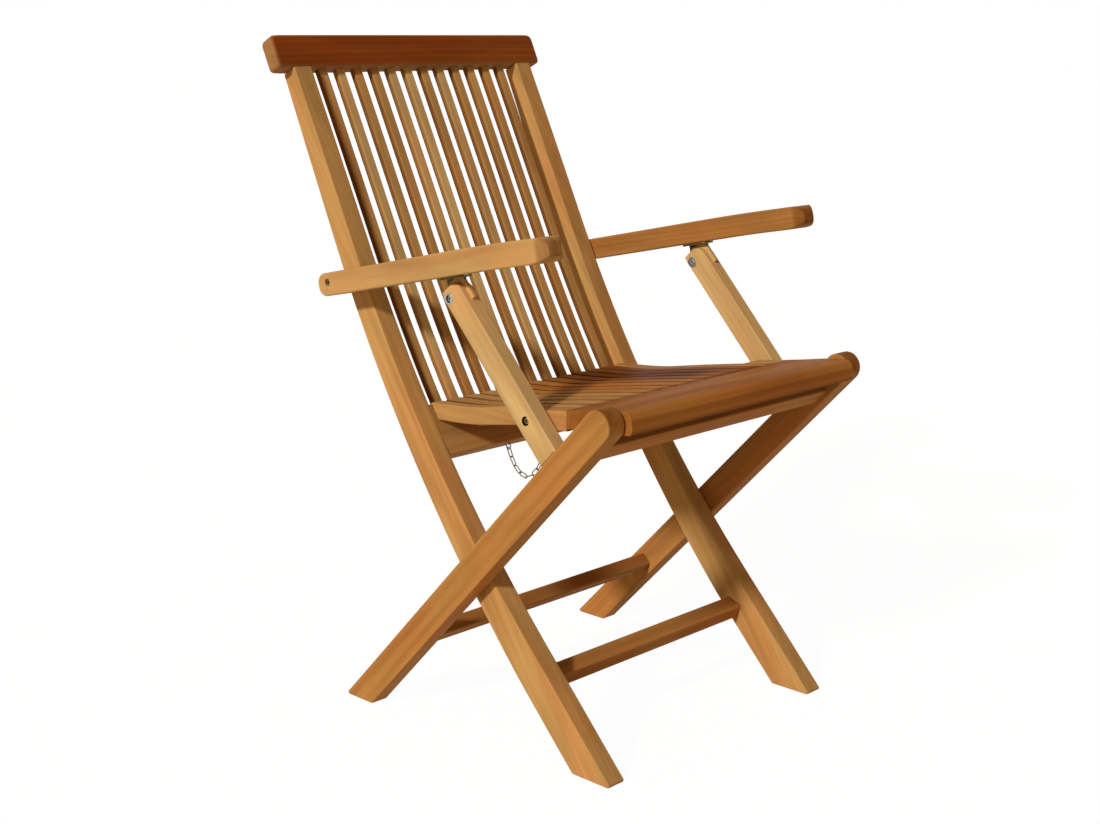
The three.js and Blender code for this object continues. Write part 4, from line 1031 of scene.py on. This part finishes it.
# Bolts with a domed head and a hexagon socket
for name, side in SIDES:
    for place, centre, outer, inner, finish in (
        ("arm", ARM_PIVOT, ARM_OUTER, LEG_INNER + ARM_BOLT_SHORT, BRASSY),
        ("bracket", BRACKET_PIVOT, SUPPORT_OUTER, LEG_INNER, ZINC),
        ("seat", SEAT_BOLT, SUPPORT_OUTER, STILE_OUTER - SEAT_BOLT_REACH, BRASSY),
    ):
        node = f"{place}_bolt_{name}"
        head = outer - HEAD_RECESS
        profile = [
            (BOLT_RADIUS, inner),
            (BOLT_RADIUS, head - HEAD_DEPTH),
            (HEAD_RADIUS, head - HEAD_DEPTH),
            *((HEAD_RADIUS - inwards, head - below) for inwards, below in HEAD_DOME),
            (SOCKET_MOUTH, head),
            (SOCKET_FLAT, head - SOCKET_RIM),
            (SOCKET_FLAT, head - SOCKET_DEPTH),
        ]
        parts = [turned_points(profile, side, centre, socket=3)]
        if place == "bracket":
            parts.append(washer_ring(side, centre, outer))
            parts.append(washer_ring(-side, centre, -inner))
            face = -inner
            nut = [
                (HEAD_RADIUS, face - RING_SUNK),
                (HEAD_RADIUS, face),
                (HEAD_RADIUS - 2 * CHAMFER, face + CHAMFER),
                (SOCKET_MOUTH, face + CHAMFER),
                (SOCKET_FLAT, face + CHAMFER - SOCKET_RIM),
                (SOCKET_FLAT, face - RING_SUNK / 2),
            ]
            parts.append(turned_points(nut, -side, centre, socket=3))
        metal(joined(node + "_turned", parts), node, finish)
    for place in ("cross_pin", "seat_pin"):
        pin = frame["nodes"][f"{place}_{name}"]
        pin.data.materials.clear()
        pin.data.materials.append(ZINC)

# Chain and screw eyes


def wire_ring(path, across, radius, sides=10):
    """A round wire carried along a closed path: each point stands off the path by the wire's
    radius, turned between the path's own outward direction and the direction across it."""
    tangent = unit(np.roll(path, -1, 0) - np.roll(path, 1, 0))
    outward = np.cross(tangent, across)
    ring = circle(full_turn(sides)[:, None], outward[:, None], across)
    places = (path[:, None] + ring * radius).reshape(-1, 3)
    at, beside = around(len(path) + 1, sides)
    total = len(places)
    return places, quads(at, beside, (beside + sides) % total, (at + sides) % total).tolist()


def hanging(start, end, length, count):
    """A hanging curve of a given length: cosh of the run over the sag, with the sag found by
    halving until the curve's length over its span is right."""
    run, rise = end - start
    wanted = math.sqrt(length**2 - rise**2) / abs(run)
    low, high = 0.001, 20.0
    for _ in range(60):
        middle = (low + high) / 2
        low, high = (middle, high) if math.sinh(middle) / middle < wanted else (low, middle)
    sag = abs(run) / (2 * low)
    lowest = math.asinh(rise / (2 * sag * math.sinh(low))) * sag - abs(run) / 2
    u = np.arcsinh((math.sinh(lowest / sag) * sag + np.linspace(0, length, count + 1)) / sag) * sag
    y = start[0] + np.sign(run) * (u - lowest)
    return np.stack([y, start[1] + sag * (np.cosh(u / sag) - math.cosh(lowest / sag))], -1)


def screw_eye(node, top, lean):
    """A wire ring closed on a shank that goes up into the wood."""
    up = np.array(lean_vector(lean))
    centre = top - up * (EYE_RADIUS + EYE_WIRE / 2 + FIT)
    forward = np.cross(RIGHT, up)
    path = centre + EYE_RADIUS * circle(full_turn(EYE_STEPS)[:, None], up, forward)
    ring = wire_ring(path, RIGHT, EYE_WIRE / 2)
    spoke = circle(full_turn(SHANK_SIDES)[:, None], RIGHT, forward)
    along, radius = np.array(EYE_PROFILE).T[..., None, None]
    places = (top + along * up + radius * spoke).reshape(-1, 3)
    at, after = around(len(EYE_PROFILE), SHANK_SIDES)
    faces = quads(at, at + SHANK_SIDES, after + SHANK_SIDES, after).tolist()
    last = np.arange(len(places))[-SHANK_SIDES:]
    faces += [list(range(SHANK_SIDES)), last[::-1].tolist()]
    metal(joined(node + "_wire", [ring, (places, faces)]), node, ZINC)
    return centre


eye_at = local(BACK_CENTRE, BACK_LEAN_HERE, -BACK_RAIL_HEIGHT / 2, BACK_FRONT - REAR_EYE_INSET)
rear_eye = screw_eye("rear_screw_eye", in_frame(eye_at, CHAIN_X), BACK_LEAN_HERE)
eye_at = on_seat(SEAT_PIVOT[0] + FRONT_EYE_BEHIND, SEAT_SLAT_DEPTH)
front_eye = screw_eye("seat_screw_eye", in_frame(eye_at, CHAIN_X), 0)

hook = EYE_RADIUS - EYE_WIRE / 2 - LINK_WIRE / 2 - FIT
start = rear_eye[1:] - (0, hook)
end = front_eye[1:] - (0, EYE_RADIUS + EYE_WIRE / 2 + OPEN_HOOK + LINK_WIRE / 2)
stations = hanging(start, end, LINK_COUNT * LINK_PITCH, LINK_COUNT)
links = []
for index, (before, after) in enumerate(zip(stations[:-1], stations[1:])):
    step = after - before
    length = np.linalg.norm(step)
    along = np.array([0, *step]) / length
    across = np.cross(along, RIGHT) if index % 2 else np.array(RIGHT, float)
    bow = (LINK_WIDTH - LINK_WIRE) / 2
    straight = (length + LINK_WIRE - LINK_BITE) / 2 - bow
    turn = full_turn(LINK_STEPS) + math.pi / LINK_STEPS
    x = bow * np.cos(turn) + np.sign(np.cos(turn)) * straight
    path = np.array([CHAIN_X, *(before + after) / 2]) + x[:, None] * along
    path = path + bow * np.sin(turn)[:, None] * across
    links.append(wire_ring(path, np.cross(along, across), LINK_WIRE / 2, LINK_SIDES))
metal(joined("chain_links", links), "chain", BRASSY)

# Floor, light and camera


def seen_plainly(tree):
    """1 for a ray from the camera, off a gloss or through a glass, and 0 for one that lights."""
    rays = put(tree, "LightPath", {}).node.outputs
    seen = rays["Is Camera Ray"]
    for kind in ("Is Glossy Ray", "Is Transmission Ray"):
        seen = put(tree, "Math", {0: seen, 1: rays[kind]}, operation="MAXIMUM")
    return seen


def stage_floor(reach=40_000, below=0.5):
    """A pale floor that looks white to the camera and in gloss, and still takes the shadow."""
    corners = [(x * reach, y * reach, -below) for x, y in ((-1, -1), (1, -1), (1, 1), (-1, 1))]
    floor = to_object("floor", corners, [(0, 1, 2, 3)])
    material, tree = new_material("pale_studio_floor")
    share = put(tree, "Math", {0: seen_plainly(tree), 1: 0.92}, operation="MULTIPLY")
    pale = put(tree, "BsdfDiffuse", {"Color": linear("e8dfd0")})
    white = put(tree, "Emission", {"Color": (1, 1, 1, 1), "Strength": 1.05})
    show(tree, put(tree, "MixShader", {0: share, 1: pale, 2: white}))
    floor.data.materials.append(material)


def stage_world(fill):
    """Even fill from all round, and plain white where the camera or a gloss looks past it."""
    world = bpy.data.worlds.new("studio")
    bpy.context.scene.world = world
    world.use_nodes = True
    tree = world.node_tree
    tree.nodes.clear()
    soft = put(tree, "Background", {"Color": (1, 0.84, 0.62, 1), "Strength": fill})
    white = put(tree, "Background", {"Color": (1, 1, 1, 1), "Strength": 1.0})
    surface = put(tree, "MixShader", {0: seen_plainly(tree), 1: soft, 2: white})
    put(tree, "OutputWorld", {"Surface": surface})


def key_light(towards, energy, spread):
    """One lamp from the left, far enough away to be even, with soft shadow edges."""
    lamp = bpy.data.lights.new("key", "SUN")
    lamp.energy, lamp.angle = energy, math.radians(spread)
    lamp.color = (0.97, 1, 1.1)
    holder = add_object("key", lamp)
    holder.rotation_mode = "QUATERNION"
    holder.rotation_quaternion = Vector(towards).to_track_quat("-Z", "Y")


def camera():
    """The photograph's view: place, lens and a small shift, from the chair's own lines."""
    width_px, height_px, focal_px = 1100, 824, 1628.49
    middle_px = np.array([563.19, 466.09])
    data = bpy.data.cameras.new("view")
    data.sensor_width = 36
    data.lens = focal_px / width_px * data.sensor_width
    data.shift_x = (width_px / 2 - middle_px[0]) / width_px
    data.shift_y = (middle_px[1] - height_px / 2) / width_px
    right = Vector((0.69628, -0.71777, -0.00317))
    forward = Vector((0.69395, 0.67429, -0.25251)).normalized()
    up = right.cross(forward).normalized()
    right = forward.cross(up)
    holder = add_object("view", data)
    turn = Matrix((right, up, -forward)).transposed().to_4x4()
    place = Matrix.Translation((-1.55697, -1.51330, 0.87971))
    holder.matrix_world = place @ turn
    bpy.context.scene.camera = holder


camera()
stage_floor()
stage_world(fill=0.25)
key_light(towards=(0.86, 0.13, -0.5), energy=2.5, spread=6)
bpy.context.scene.view_settings.view_transform = "Standard"
